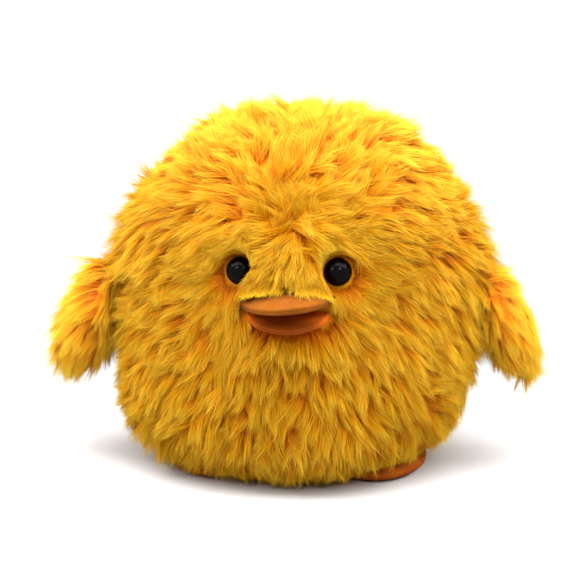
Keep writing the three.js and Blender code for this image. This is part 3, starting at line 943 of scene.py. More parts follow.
def blades(strands, outward, tint, places, cut):
    """Flat three-sided blades along the strands, closed at the root and drawn to a point at the tip.
    A blade's low ridge looks out of the cloth. The map's u is the place along the strand, less at the
    blade's edges, and v is its tint with a little width for the bake. Gives points, triangles, maps
    and line numbers: the two edges are sharp, so that light on the blade's face stays even."""
    count = len(strands)
    rings = len(places) - 1
    way = unit(np.gradient(strands, axis=1))[:, :rings]
    lean = unit(outward + rng.normal(0, BLADE_LEAN, (count, 3)))[:, None, :]
    a = unit(np.cross(way, lean))
    b = np.cross(way, a)
    angle = np.radians(BLADE_CORNERS)[:, None]
    beside = np.cos(angle) * a[:, :, None, :]
    inward = b[:, :, None, :]
    s = places[:rings]
    taper = (1 - BLADE_TAPER * s**2 - cut["swell"] * (1 - s) ** 3)[None, :, None, None]
    scale = taper * rng.uniform(*BLADE_SIZES, (count, 1, 1, 1))
    section = cut["half_width"] * beside + cut["half_thickness"] * np.sin(angle) * inward
    tube = strands[:, :rings, None, :] + scale * section
    points = np.concatenate([tube.reshape(count, -1, 3), strands[:, rings:]], axis=1)
    one = np.concatenate([grid_triangles(rings, 3), tip_triangles(rings), [[0, 2, 1]]])
    triangles = (np.arange(count) * points.shape[1])[:, None, None] + one
    across = np.tile([0.0, cut["edge"], cut["edge"]], rings)
    u = np.append(np.maximum(np.repeat(s, 3) - across, EDGE_LEAST * across), 1.0)
    v = np.append(np.tile([0.0, -TINT_WIDTH, TINT_WIDTH], rings), 0.0)
    corner_u = np.tile(u[one], (count, 1, 1))
    corner_u[:, -1] = [0.0, 0.0, ROOT_WIDTH]
    uv = np.stack([corner_u, tint[:, None, None] + v[one]], -1)
    line = np.tile(np.append(np.tile([0, 1, 2], rings), -1), count)
    return points.reshape(-1, 3), triangles.reshape(-1, 3), uv.reshape(-1, 2), line


def spindles(strands, outward, tint, cut):
    """Thin three-sided strands, drawn to a point at root and tip and widest in the middle. Gives the
    same four arrays as the blades."""
    count = len(strands)
    way = unit(strands[:, 2] - strands[:, 0])
    lean = unit(outward + rng.normal(0, BLADE_LEAN, (count, 3)))
    a = unit(np.cross(way, lean))[:, None, :]
    b = np.cross(way, a[:, 0])[:, None, :]
    angle = np.radians(BLADE_CORNERS)[:, None]
    section = cut["half_width"] * np.cos(angle) * a + cut["half_thickness"] * np.sin(angle) * b
    middle = strands[:, 1:2] + section * rng.uniform(*BLADE_SIZES, (count, 1, 1))
    points = np.concatenate([strands[:, :1], middle, strands[:, 2:]], axis=1)
    one = np.array([[2, 1, 0], [3, 2, 0], [1, 3, 0], [1, 2, 4], [2, 3, 4], [3, 1, 4]])
    triangles = (np.arange(count) * points.shape[1])[:, None, None] + one
    ridge = FINE_PLACES[1]
    side = ridge - cut["edge"]
    u = np.array([0.0, ridge, side, side, 1.0])
    v = np.array([0.0, 0.0, -TINT_WIDTH, TINT_WIDTH, 0.0])
    uv = np.stack([np.tile(u[one], (count, 1, 1)), tint[:, None, None] + v[one]], -1)
    line = np.tile([-1, 0, 1, 2, -1], count)
    return points.reshape(-1, 3), triangles.reshape(-1, 3), uv.reshape(-1, 2), line


broad_rings = len(BROAD_PLACES) - 1
print("triangles of a blade:", len(grid_triangles(broad_rings, 3)) + len(tip_triangles(broad_rings)) + 1)


# %% A piece of pile
def pile_mesh(name, wisps, normals, flow, tint, gather, part):
    """A broad blade for each wisp, which is its close inner fibres, and fine strands round it. Part is
    a function that parts strands round what stands in the pile."""
    broad, is_kept = part(at_places(wisps, BROAD_PLACES), BROAD_PLACES)
    first = blades(broad[is_kept], normals[is_kept], tint[is_kept], BROAD_PLACES, BROAD)
    count = next(number for place, number in WISP_STRANDS.items() if place in name)
    strands, out, tint_and_painted_light = wisp_strands(wisps, normals, flow, tint, gather, count)
    strands, is_kept = part(strands, FINE_PLACES)
    second = spindles(strands[is_kept], out[is_kept], tint_and_painted_light[is_kept], FINE)
    triangles = np.concatenate([first[1], second[1] + len(first[0])])
    points, uv, line = (np.concatenate([first[k], second[k]]) for k in (0, 2, 3))
    piece = put_mesh(name, points, triangles, golden_pile, uv, line)
    print(name, "triangles:", len(triangles))
    return piece


# %% [markdown]
# ## The lie of the pile on the ball
# The photograph shows a whorl above the bill, from which the pile lies away on all sides: down over
# the bill, out over the cheeks and up over the crown. Behind, it hangs. Near the eyes it is shorter,
# and under the ball it is pressed flat. A groomer would comb this by hand. Here the roots lie on a
# golden spiral, which spreads them evenly, and formulas comb them.

# %% Places on the chick
WHORL = np.array([2.0, -66.0, 111.0])
MOUTH = np.array([0.0, -71.0, 82.0])
BILL_TOP = np.array([0.0, -70.0, 97.0])
CHIN = np.array([0.0, -71.0, 71.0])
BELLY_FRONT = np.array([0.0, -60.0, 56.0])
CROWN_TUFT = np.array([46.0, -10.0, 150.0])
RIGHT_BULGE = np.array([-68.0, -5.0, 132.0])
RIGHT_FOOT_TOP = np.array([-52.0, -30.0, 14.0])
WING_FRONT = np.array([73.0, -26.0, 80.0])
WING_FRONT_REACH = (14.0, 18.0, 20.0)
SHOULDER = np.array([78.0, -6.0, 103.0])
SHOULDER_REACH = (18.0, 30.0, 13.0)
EYE_SHORT_REACH = 15.0
MOUTH_SHORT_REACH = (25.0, 30.0, 17.0)
WHORL_SHORT_REACH = 19.0


def on_left(points):
    """Points with those of the right side mirrored to the left."""
    return np.where([True, False, False], np.abs(points), points)


def by_shoulder(points):
    """A soft spot over each wing's root."""
    return near(on_left(points), SHOULDER, SHOULDER_REACH)


def eye_distance(points):
    """Distance to the nearest eye's middle."""
    return np.min([np.linalg.norm(points - middle, axis=-1) for middle, _ in eye_places.values()], axis=0)


def by_eye(points, reach):
    """A soft spot round each eye."""
    return np.exp(-((eye_distance(points) / reach) ** 2))


def on_short_pile(points):
    """1 close to the eyes, the bill and the whorl, fading over some millimetres."""
    mouth = near(points, MOUTH, MOUTH_SHORT_REACH)
    whorl = near(points, WHORL, WHORL_SHORT_REACH)
    return np.maximum(np.maximum(by_eye(points, EYE_SHORT_REACH), mouth), whorl)


print("from the whorl to an eye:", np.round(eye_distance(WHORL), 1), "mm")

# %% Roots on the ball
LOWEST_ROOT = 3.0
ROOT_SCATTER = 0.28
SPIRAL_STEPS = 1500
LOCK_SPACING = 4.9
SHORT_SPACING = 4.2
CLOSE_SPACING = 3.1
RIM_SPACING = 2.2
SHORT_SHARE = 0.35
CLOSE_TO_EYE = 15
CLOSE_TO_WHORL = 13.0
WHORL_SHARE = 0.4
EYE_RIM = 4
GOLDEN_ANGLE = math.pi * (3 - math.sqrt(5))


def ball_roots(spacing):
    """A golden spiral of roots: each is a golden angle on from the last, at a climb where the ball's
    area below it grows by an equal share."""
    climb = np.linspace(climb_at(LOWEST_ROOT, PILE), math.pi / 2, SPIRAL_STEPS)
    ring = ball_point(np.zeros_like(climb), climb, PILE)
    step = np.linalg.norm(np.diff(ring, axis=0), axis=1)
    mean_radius = 0.5 * (np.abs(ring[1:, 1]) + np.abs(ring[:-1, 1]))
    area = np.concatenate([[0], np.cumsum(2 * math.pi * mean_radius * step)])
    count = int(area[-1] / spacing**2)
    share = (np.arange(count) + 0.5) / count * area[-1]
    turns = np.arange(count) * GOLDEN_ANGLE
    points = ball_point(turns % (2 * math.pi), np.interp(share, area, climb), PILE)
    points += rng.normal(0, ROOT_SCATTER * spacing, points.shape)
    direction = points - [0, 0, WAIST_HEIGHT]
    turn = np.arctan2(direction[:, 0] / BODY_HALF_WIDTH, -direction[:, 1] / BODY_HALF_DEPTH)
    return ball_point(turn, climb_at(points[:, 2], PILE), PILE)


# Where the pile is short, and closest round the eyes, more locks are needed to cover the cloth.
short = ball_roots(SHORT_SPACING)
short = short[on_short_pile(short) > SHORT_SHARE]
close = ball_roots(CLOSE_SPACING)
at_whorl = near(close, WHORL, CLOSE_TO_WHORL) > WHORL_SHARE
close = close[(eye_distance(close) < CLOSE_TO_EYE) | at_whorl]
rim = ball_roots(RIM_SPACING)
rim = rim[eye_distance(rim) < EYE_RADIUS + EYE_RIM]
roots = np.concatenate([ball_roots(LOCK_SPACING), short, close, rim])
print("locks on the ball:", len(roots))

# %% Bare places: eyes, bill roots and feet
BILL_BARE = 1.08
EYE_BARE = 0.6
FOOT_BARE = 0.75


def in_bill_root(points, bill):
    """True inside the ellipse where a bill half is sewn on."""
    across = points[:, 0] / bill["half_width"]
    up = (points[:, 2] - bill["level"]) / bill["half_thickness"]
    return (points[:, 1] < 0) & (np.hypot(across, up) < BILL_BARE)


def in_mouth(points):
    """True between the roots of the two halves of the bill."""
    between = (points[:, 2] > LOWER_BILL["level"]) & (points[:, 2] < UPPER_BILL["level"])
    return (points[:, 1] < 0) & between & (np.abs(points[:, 0]) < LOWER_BILL["half_width"])


def in_bill(points):
    """True where the bill is sewn on, from its top to its chin."""
    return in_bill_root(points, UPPER_BILL) | in_bill_root(points, LOWER_BILL) | in_mouth(points)


def from_left_foot(points):
    """How far points are from the left foot's middle in plan, where 1 is its outline."""
    beside = (points[..., 0] - FOOT_OUT) / FOOT_HALF_WIDTH
    along = (points[..., 1] + FOOT_FORWARD) / FOOT_HALF_LENGTH
    return np.hypot(beside, along)


on_foot = (from_left_foot(on_left(roots)) < 1) & (roots[:, 2] < FOOT_BARE * FOOT_HEIGHT)
bare = (eye_distance(roots) < EYE_RADIUS + EYE_BARE) | on_foot | in_bill(roots)
roots = roots[~bare]
normals = ball_normal(roots, PILE)
print("locks left:", len(roots))

# %% The lie
BEHIND = (-5, 60)
WHORL_SCATTER = 9
BILL_PARTING_REACH = (20.0, 30.0, 8.0)
BILL_PARTING_FALL = 0.6
BILL_PARTING_WIDTH = 3
EYE_PARTING_REACH = 10.5
# How much each way counts beside the way from the whorl.
HANG = 0.25
HANG_BEHIND = 0.9
HANG_SHOULDER = 0.4
BILL_PARTING = 2.2
EYE_PARTING = 1.8
SWIRL_WIDE = 0.32
SWIRL_NARROW = 0.22
SWIRL_OWN = 0.16


def from_eyes(points, normals):
    """Away from each eye, fading over a few millimetres beyond its edge."""
    push = np.zeros_like(points)
    for middle, _ in eye_places.values():
        push += near(points, middle, EYE_PARTING_REACH)[:, None] * tangent(points - middle, normals)
    return push


def swirled(flow, normals, swirl):
    """Ways turned in the surface by angles."""
    return np.cos(swirl)[:, None] * flow + np.sin(swirl)[:, None] * np.cross(normals, flow)


def ball_flow(points, normals):
    """Away from the whorl on the front, straight down behind and aside over the bill, with a swirl.
    Each lock has its own place for the whorl, so locks cross there and no parting shows."""
    away = tangent(points - (WHORL + rng.normal(0, WHORL_SCATTER, points.shape)), normals)
    hang = tangent(np.broadcast_to(DOWN, points.shape), normals)
    behind = soft_step(*BEHIND, points[:, 1:2])
    x = points[:, 0]
    aside = np.stack([soft_sign(x, BILL_PARTING_WIDTH), 0 * x, np.full(len(x), -BILL_PARTING_FALL)], -1)
    on_bill = near(points, BILL_TOP, BILL_PARTING_REACH)[:, None]
    hang_share = HANG + HANG_BEHIND * behind + HANG_SHOULDER * by_shoulder(points)[:, None]
    flow = (1 - behind) * away + hang_share * hang
    flow = flow + BILL_PARTING * on_bill * tangent(aside, normals)
    flow = unit(flow + EYE_PARTING * from_eyes(points, normals))
    swirl = SWIRL_WIDE * waves(points, length=48, seed=3) + SWIRL_NARROW * waves(points, length=20, seed=4)
    return swirled(flow, normals, swirl + rng.normal(0, SWIRL_OWN, len(points)))


flow = ball_flow(roots, normals)
print("share of locks that lie downwards:", np.round(np.mean(flow[:, 2] < 0), 2))

# %% [markdown]
# ## Areas of the coat
# On the toy the pile is long at the shoulders and in front of the wings, short at the eyes and pressed
# flat under the seat. Painted weights could say so, but a table is easier to read and change: each
# named area has a soft weight from 0 to 1, and each property of the coat adds up the areas' amounts.

# %% Weights of the areas
# Each fade is where the weight is 0 and where it is 1, in mm of height or to the side.
CROWN = (112, 158)
# The upper and lower areas carry only painted light: a paler tint high on the ball and a darker one low
# down.
UPPER = (105, 150)
LOWER = (80, 40)
UNDER = (58, 25)
SEAT = (40, 3)
LEFT_UNDER = (62, 22)
RIGHT_UNDER = (44, 18)
CHEEK_SIDE = (48, 70)
CHEEK_BOTTOM = (88, 100)
CHEEK_TOP = (146, 128)
CORNER_SIDE = (30, 58)
CORNER_BOTTOM = (122, 138)
LOW_SIDE = (20, 70)
LOW_TOP = (66, 32)
LOW_BOTTOM = (2, 20)
EYE_COAT_REACH = 13.0
COAT_SPOTS = {
    "whorl": (WHORL, 12.0),
    "bill": (BILL_TOP, (24.0, 30.0, 13.0)),
    "fringe": (BILL_TOP, (24.0, 30.0, 10.0)),
    "chin": (CHIN, (18.0, 20.0, 6.0)),
    "belly": (BELLY_FRONT, (52.0, 60.0, 34.0)),
    "curtain": (RIGHT_FOOT_TOP, (26.0, 30.0, 14.0)),
    "tuft": (CROWN_TUFT, 14.0),
    "bulge": (RIGHT_BULGE, 20.0),
}


def coat_areas(points):
    """Weights of the named areas: soft steps in height and to the side, and soft spots."""
    level = points[:, 2]
    beside = np.abs(points[:, 0])
    is_left = points[:, 0] > 0
    corner = soft_step(*CORNER_SIDE, beside) * soft_step(*CORNER_BOTTOM, level)
    low = soft_step(*LOW_SIDE, beside) * soft_step(*LOW_TOP, level) * soft_step(*LOW_BOTTOM, level)
    cheek = soft_step(*CHEEK_SIDE, beside) * soft_step(*CHEEK_BOTTOM, level) * soft_step(*CHEEK_TOP, level)
    areas = {
        "everywhere": np.ones(len(points)),
        "crown": soft_step(*CROWN, level),
        "upper": soft_step(*UPPER, level),
        "lower": soft_step(*LOWER, level),
        "under": soft_step(*UNDER, level),
        "seat": soft_step(*SEAT, level),
        "left_under": np.where(is_left, soft_step(*LEFT_UNDER, level), 0),
        "right_under": np.where(is_left, 0, soft_step(*RIGHT_UNDER, level)),
        "left_corner": np.where(is_left, corner, 0),
        "right_corner": np.where(is_left, 0, corner),
        "left_low": np.where(is_left, low, 0),
        "right_low": np.where(is_left, 0, low),
        "cheek": cheek,
        "eye": by_eye(points, EYE_COAT_REACH),
        "shoulder": by_shoulder(points),
        "wing_front": near(on_left(points), WING_FRONT, WING_FRONT_REACH),
    }
    for area, (middle, reach) in COAT_SPOTS.items():
        areas[area] = near(points, middle, reach)
    return areas


print("areas:", sorted(coat_areas(roots)))

# %% What each area adds
# Length and height of the tips over the backing are in mm, press is in radians, and sag, tint and
# gather are shares. The tint is partly painted light.
LENGTH = {
    "everywhere": 20.0,
    "seat": -9.5,
    "eye": -8.5,
    "bill": -2.0,
    "cheek": 1.5,
    "shoulder": 5.0,
    "chin": -4.0,
    "wing_front": 7.0,
    "left_low": 2.0,
    "right_low": 2.0,
    "curtain": 2.0,
}
LOFT = {
    "everywhere": 8.6,
    "crown": 0.2,
    "seat": -6.8,
    "whorl": 2.5,
    "eye": -4.6,
    "bill": 3.0,
    "cheek": 3.0,
    "left_corner": -2.5,
    "right_corner": -7.0,
    "left_low": -6.0,
    "right_low": 7.0,
    "curtain": 0.5,
    "shoulder": 9.0,
    "chin": 3.0,
    "tuft": 4.0,
    "wing_front": 6.0,
    "bulge": 3.0,
}
LOFT_WAVE = {"everywhere": 1.5, "crown": 1.0}
SAG = {"everywhere": 0.30, "crown": -0.25, "under": -0.28, "shoulder": 0.15, "fringe": 0.6, "curtain": 0.5}
# The tint is partly the pile's own colour and partly painted light: paler over the upper ball, where the
# lamp overhead lights the pile, paler in front of the wings to blend into their painted light, and darker
# low down, where the pile is in shade.
TINT_AND_PAINTED_LIGHT = {"everywhere": 0.38, "upper": 0.40, "wing_front": 0.20, "lower": -0.08}
GATHER = {"everywhere": 0.18, "belly": 0.47}
PRESS = {"left_under": 1.7, "right_under": 1.6}


def by_area(areas, amounts):
    """A property of the coat: the sum of the areas' amounts times their weights."""
    return sum(amount * areas[area] for area, amount in amounts.items())


def coat_loft(points, areas):
    """Height of the pile's tips over the backing, with waves."""
    return by_area(areas, LOFT) + by_area(areas, LOFT_WAVE) * waves(points, length=26, seed=5)


print("mean loft:", np.round(coat_loft(roots, coat_areas(roots)).mean(), 1), "mm")

# %% Comb the ball's locks
LENGTHS = (0.88, 1.10)
LOFT_SPREAD = 0.9
LEAST_LOFT = 0.8
BEND_WAVE = 0.40
BEND_SPREAD = 0.35
SHADE_WAVE = 0.10
SHADE_SPREAD = 0.05

areas = coat_areas(roots)
length = by_area(areas, LENGTH) * rng.uniform(*LENGTHS, len(roots))
loft = np.maximum(coat_loft(roots, areas) + rng.normal(0, LOFT_SPREAD, len(roots)), LEAST_LOFT)
bend = BEND_WAVE * waves(roots, length=38, seed=6) + rng.normal(0, BEND_SPREAD, len(roots))
tint_and_painted_light = by_area(areas, TINT_AND_PAINTED_LIGHT) + SHADE_WAVE * waves(roots, length=24, seed=7)
tint_and_painted_light = tint_and_painted_light + rng.normal(0, SHADE_SPREAD, len(roots))
sag = by_area(areas, SAG)
lines = guide_lines(roots, normals, flow, loft, length, sag, bend, by_area(areas, PRESS))
wisps, wisp_out, wisp_flow, wisp_tint = lock_wisps(normals, flow, lines, tint_and_painted_light)
wisp_gather = np.repeat(by_area(areas, GATHER), LOCK_WISPS)
print("wisps on the ball:", len(wisps))

# %% [markdown]
# ## Parting the pile
# On the toy the pile folds over the top of the bill, opens round the eyes and stays clear of the foot
# that shows. A collision simulation of the strands would be slow, so each strand is laid on the bill by
# its own outline, and ends where it first comes to a place that has to stay clear.

# %% Lay strands on the bill
BILL_FOLD = 0.9
BILL_SPREAD = 0.15
BILL_MARGIN = 0.4
BILL_LIFT = 0.5


def in_bill_frame(points, bill):
    """Points in a bill half's own frame, which are over its outline, half its thickness there and the
    turn back to the chick's frame."""
    turn = turn_about_x(bill["droop"])
    own = (points - face_point(0, bill["level"], PILE)) @ turn
    across = own[..., 0] / (bill["half_width"] + BILL_MARGIN)
    ahead = np.minimum(own[..., 1], 0) / (bill["reach"] + BILL_MARGIN)
    room = 1 - across**2 - ahead**2
    thick = bill["half_thickness"] * np.sqrt(np.maximum(room, 0)) + BILL_LIFT
    return own, (room > 0) & (points[..., 1] < 0), thick, turn


def off_bill(strands, bill):
    """Let strands that start above a bill half fall on its top and fold forwards and aside over it, and
    hold the others under it."""
    own, is_over, thick, turn = in_bill_frame(strands, bill)
    is_above = strands[:, :1, 2] > bill["level"]
    fold = np.where(is_over & is_above, np.maximum(thick - own[..., 2], 0), 0)
    own[..., 0] += BILL_SPREAD * fold * soft_sign(own[..., 0], BILL_PARTING_WIDTH)
    own[..., 1] -= BILL_FOLD * fold
    level = np.where(is_above, np.maximum(own[..., 2], thick), np.minimum(own[..., 2], -thick))
    own[..., 2] = np.where(is_over, level, own[..., 2])
    return own @ turn.T + face_point(0, bill["level"], PILE)


print("wisp tips over the upper bill:", int(in_bill_frame(wisps[:, -1], UPPER_BILL)[1].sum()))

# %% Places that stay clear
EYE_COVER = {"left": 0.0, "right": 0.5}
EYE_CLEAR = 0.3
EYE_CONE = 0.22
EYE_BACK = -2
BILL_COVER = 6.0
BILL_TOUCH = 0.2
COVER_MIDDLE = 0.5
COVER_CORNER = 1.2
COVER_WAVE = 0.35
FOOT_EDGE = 1.22
FOOT_FALL = 7.0


def over_eye(points, middle, axis, cover):
    """True in front of an eye, inside a cone that opens from the dome's edge. Cover is how far pile
    from the bridge comes over the eye's lower inner edge."""
    apart = points - middle
    ahead = dot(apart, axis)[..., 0]
    aside = apart - ahead[..., None] * axis
    far = np.linalg.norm(aside, axis=-1)
    inner = np.array([-np.sign(middle[0]), 0.0, -1.0]) / math.sqrt(2)
    lobe = np.maximum(aside @ inner / np.maximum(far, TINY), 0) ** 2
    clear = (EYE_RADIUS + EYE_CLEAR + EYE_CONE * np.maximum(ahead, 0)) * (1 - cover * lobe)
    return (far < clear) & (ahead > EYE_BACK)


def over_bill(points, bill):
    """True on the felt of a bill half, further out from its root than the pile's uneven cover, which is
    more towards the corners."""
    own, is_over, thick, _ = in_bill_frame(points, bill)
    corner = np.abs(own[..., 0]) / bill["half_width"]
    ragged = COVER_WAVE * (waves(points, length=7, seed=12) + waves(points, length=1.3, seed=13))
    cover = BILL_COVER * (COVER_MIDDLE + COVER_CORNER * corner + ragged)
    return is_over & (own[..., 1] < -cover) & (np.abs(own[..., 2]) < thick + BILL_TOUCH)


def closed_places(points):
    """True in front of an eye, over the bill or close over the left foot, whose edge shows."""
    closed = (from_left_foot(points) < FOOT_EDGE) & (points[..., 2] < FOOT_FALL)
    closed |= over_bill(points, UPPER_BILL)
    for name, (middle, axis) in eye_places.items():
        closed |= over_eye(points, middle, axis, EYE_COVER[name])
    return closed


print("wisp tips in closed places:", int(closed_places(wisps[:, -1]).sum()))

# %% Part strands
CUT_STEPS = 20
SHORTEST = 0.18
FLOOR_GAP = 0.5


def along_strands(strands, places, spots):
    """Points at spots, one row for each strand, on strands given at places from 0 to 1."""
    after = np.clip(np.searchsorted(places, spots), 1, len(places) - 1)
    share = (spots - places[after - 1]) / (places[after] - places[after - 1])
    row = np.arange(len(strands))[:, None]
    return strands[row, after - 1] * (1 - share[..., None]) + strands[row, after] * share[..., None]


def cut_strands(strands, places):
    """End each strand where it first comes to a closed place, and tell which are long enough to keep."""
    steps = np.broadcast_to(np.linspace(0, 1, CUT_STEPS + 1), (len(strands), CUT_STEPS + 1))
    hit = closed_places(along_strands(strands, places, steps))
    reach = np.where(hit.any(1), (hit.argmax(1) - 1) / CUT_STEPS, 1.0)
    kept = reach > SHORTEST
    return along_strands(strands, places, np.clip(reach, 0, 1)[:, None] * places), kept


def part_pile(strands, places):
    """Strands laid over the bill and the floor and ended at closed places, and which of them to keep."""
    laid = off_bill(off_bill(strands, UPPER_BILL), LOWER_BILL)
    laid[..., 2] = np.maximum(laid[..., 2], FLOOR_GAP)
    ended, is_kept = cut_strands(laid, places)
    return ended, is_kept & ~in_bill(strands[:, 0])


def above_floor(strands, places):
    """Strands kept above the floor, all of them."""
    strands[..., 2] = np.maximum(strands[..., 2], FLOOR_GAP)
    return strands, np.ones(len(strands), dtype=bool)


print("shortest strand kept:", SHORTEST, "of its length")

# %% [markdown]
# ## Panels of pile
# The toy's cover is sewn from panels. One mesh for all the pile would be simplest, but it would be too
# large for one piece. So the pile is cut as the panels are, each in thirds round the ball. The pile over
# a wing's root is a piece of its own, which rides on neither the body nor the wing.

# %% One piece for each panel and side
NECK_SEAM_HEIGHT = 90
THIRD_TURN = 22
SHOULDER_SHARE = 0.45
STANDS_FOR = {
    "face_pile_middle": ["face_panel"],
    "crown_pile_middle": ["crown_panel"],
    "belly_pile_middle": ["belly_panel"],
    "back_pile_left": ["back_left_panel"],
    "back_pile_right": ["back_right_panel"],
}


def panel_of(points):
    """The name of the pile piece that each root belongs to: its panel and its third of that panel, or
    the shoulder that lies over a wing's root."""
    upper = points[:, 2] > NECK_SEAM_HEIGHT
    front = points[:, 1] < 0
    turn = np.degrees(np.arctan2(points[:, 0], np.abs(points[:, 1])))
    names = np.where(upper, np.where(front, "face", "crown"), np.where(front, "belly", "back"))
    third = np.where(turn > THIRD_TURN, "left", np.where(turn < -THIRD_TURN, "right", "middle"))
    panels = np.char.add(np.char.add(names, "_pile_"), third)
    shoulder = np.where(points[:, 0] > 0, "left_shoulder_pile", "right_shoulder_pile")
    return np.where(by_shoulder(points) > SHOULDER_SHARE, shoulder, panels)


def carry(piece):
    """Ride on the body, or, for the pile over a shoulder, keep its place baked into its points."""
    if "shoulder" not in piece.name:
        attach(piece, "body")
        return
    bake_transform(piece)


panels = np.repeat(panel_of(roots), LOCK_WISPS)
for panel in np.unique(panels).tolist():
    mine = panels == panel
    locks = [values[mine] for values in (wisps, wisp_out, wisp_flow, wisp_tint, wisp_gather)]
    piece = pile_mesh(panel, *locks, part_pile)
    carry(piece)
    if panel in STANDS_FOR:
        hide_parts(*STANDS_FOR[panel])

# %% [markdown]
# ## Undercoat
# Between the long strands the cloth has a short, woolly undercoat that hides its knitted backing where
# the locks part. It is too dense for single strands, so it is one tufted sheet: the ball's own grid,
# raised over the backing by about a third of the pile's loft, more behind, and by a wavy height.

# %% Undercoat
UNDER_ROWS = 96
UNDER_COLUMNS = 160
UNDER_SHARE = 0.32
UNDER_BEHIND = 0.5
UNDER_LEAST = 0.4
LARGE_TUFTS = 0.5
SMALL_TUFTS = 0.3
# How much of the height, and of the tufts, is lost where the pile is short.
SHORT_LOSS = 0.9
SHORT_TUFT_LOSS = 0.6


def undercoat():
    """A closed grid of the ball at a depth that follows the pile's loft, with tufts of two sizes."""
    turns, climbs = ball_grid(UNDER_ROWS, UNDER_COLUMNS)
    flat = ball_point(turns, climbs, PILE).reshape(-1, 3)
    tufts = LARGE_TUFTS * waves(flat, length=9, seed=10) + SMALL_TUFTS * waves(flat, length=5, seed=11)
    short = on_short_pile(flat)
    share = UNDER_SHARE * (1 + UNDER_BEHIND * soft_step(*BEHIND, flat[:, 1]))
    height = share * coat_loft(flat, coat_areas(flat)) * (1 - SHORT_LOSS * short)
    height = np.maximum(height + tufts * (1 - SHORT_TUFT_LOSS * short), UNDER_LEAST)
    points = ball_point(turns, climbs, PILE - height.reshape(turns.shape))
    points[..., 2] = np.maximum(points[..., 2], BACKING_FLOOR)
    return closed_grid(points)


under = dress(put_mesh("undercoat_pile", *undercoat(), under_pile), "body", "pile")
print("undercoat triangles:", len(under.data.polygons))

# %% [markdown]
# ## Wings
# A wing is a flat stuffed flipper, thin at its sewn root. It could be cut out and blown up as cloth,
# but its pile hides all but its outline. So its core is a loft: rings of flattened ovals from root to
# tip, whose breadth and thickness swell and close. Pile covers both faces, fans out from a place near
# the root and hangs over the end as a fringe.

# %% Wing formula
WING_LENGTH = 52
WING_HALF_BREADTH = 24
WING_OUTER_THICKNESS = 15
WING_INNER_THICKNESS = 14
WING_HANG = 63
WING_FORWARD = 6
WING_HEIGHT = 90
WING_STANDOFF = 1.6
WING_PILE = 7.0
# Powers at the root and at the tip: a low one is blunt, and 1 is a wedge.
BREADTH_SWELL = (0.32, 0.5)
OUTER_SWELL = (0.55, 0.5)
INNER_SWELL = (1.4, 0.5)
SMALL_STEP = 1e-3


def wing_hinge():
    """The left wing's sewn root, just off the side of the ball."""
    spread = spread_at(WING_HEIGHT, 0)
    side = BODY_HALF_WIDTH * math.sqrt(spread**2 - (WING_FORWARD / BODY_HALF_DEPTH) ** 2)
    return np.array([side + WING_STANDOFF, -WING_FORWARD, WING_HEIGHT])


def swell(t, root_power, tip_power):
    """A swell from 0 at the root to 1 and back to 0 at the tip."""
    peak = root_power / (root_power + tip_power)
    return (t / peak) ** root_power * ((1 - t) / (1 - peak)) ** tip_power


def wing_point(t, angle, depth):
    """Oval rings along the wing, in the wing's own frame: X to the tip, Z out of its outer face."""
    outer = (WING_OUTER_THICKNESS - depth) * swell(t, *OUTER_SWELL)
    inner = (WING_INNER_THICKNESS - depth) * swell(t, *INNER_SWELL)
    x = (WING_LENGTH - depth) * t
    y = -(WING_HALF_BREADTH - depth) * np.cos(angle) * swell(t, *BREADTH_SWELL)
    z = np.sin(angle) * np.where(np.sin(angle) > 0, outer, inner)
    return np.stack([np.broadcast_to(x, y.shape), y, z], -1)


def wing_normals(t, angle, depth):
    """The way out, from the cross product of small steps along and round the wing."""
    ahead = np.minimum(t + SMALL_STEP, 1 - SMALL_STEP)
    along = wing_point(ahead, angle, depth) - wing_point(t - SMALL_STEP, angle, depth)
    around = wing_point(t, angle + SMALL_STEP, depth) - wing_point(t, angle - SMALL_STEP, depth)
    return unit(np.cross(along, around))


def hang_wing(vectors):
    """Turn vectors from the wing's frame to the chick's, for the left wing."""
    return vectors @ turn_about_y(WING_HANG).T


WING_HINGE = wing_hinge()
print("wing hinge", np.round(WING_HINGE, 3))

# %% Wing core
CORE_ROWS = 40
CORE_COLUMNS = 64
CORE_DEPTH = WING_PILE - 2.8
CORE_END = 0.01


def wing_core():
    """Rings of the left wing's stuffed core."""
    t = np.linspace(CORE_END, 1 - CORE_END, CORE_ROWS)[:, None]
    angle = full_turn(CORE_COLUMNS)[None, :]
    return (hang_wing(wing_point(t, angle, CORE_DEPTH)) + WING_HINGE)[:, ::-1]


print("rings of a wing core:", wing_core().shape[:2])

# %% Wing locks
WING_LOCKS = 280
WING_FAN = np.array([-4.0, 0.0, -10.0])
WING_FAN_SCALE = np.array([1.0, 0.4, 1.0])
WING_ALONG = 0.3
WING_ROOT = 0.02
WING_RUN = 0.97
WING_RUN_POWER = 1.3
WING_SCATTER = 0.02
WING_SWIRL_WAVE = 0.22
WING_SWIRL_OWN = 0.14
WING_OUTER = (-0.4, 0.4)
WING_SHOULDER = (0.45, 0.0)
WING_PILE_LENGTH = 18
WING_OUTER_LENGTH = 3
WING_LENGTHS = (0.88, 1.12)
WING_LOFT = 6.0
WING_OUTER_LOFT = 2.0
WING_SHOULDER_LOFT = -3.5
WING_SAG = 0.35
WING_BEND_WAVE = 0.3
WING_BEND_OWN = 0.25
GOLDEN_SHARE = (3 - math.sqrt(5)) / 2
OVAL_STEPS = 720


def even_angle(share):
    """The angle round a flat oval after a share of its edge, by adding up the edge in small steps."""
    angle = np.linspace(0, 2 * math.pi, OVAL_STEPS + 1)
    breadth = WING_HALF_BREADTH - WING_PILE
    thickness = 0.5 * (WING_OUTER_THICKNESS + WING_INNER_THICKNESS) - WING_PILE
    edge = np.hypot(breadth * np.sin(angle), thickness * np.cos(angle))
    run = np.concatenate([[0], np.cumsum(0.5 * (edge[1:] + edge[:-1]))])
    return np.interp(share % 1, run / run[-1], angle)


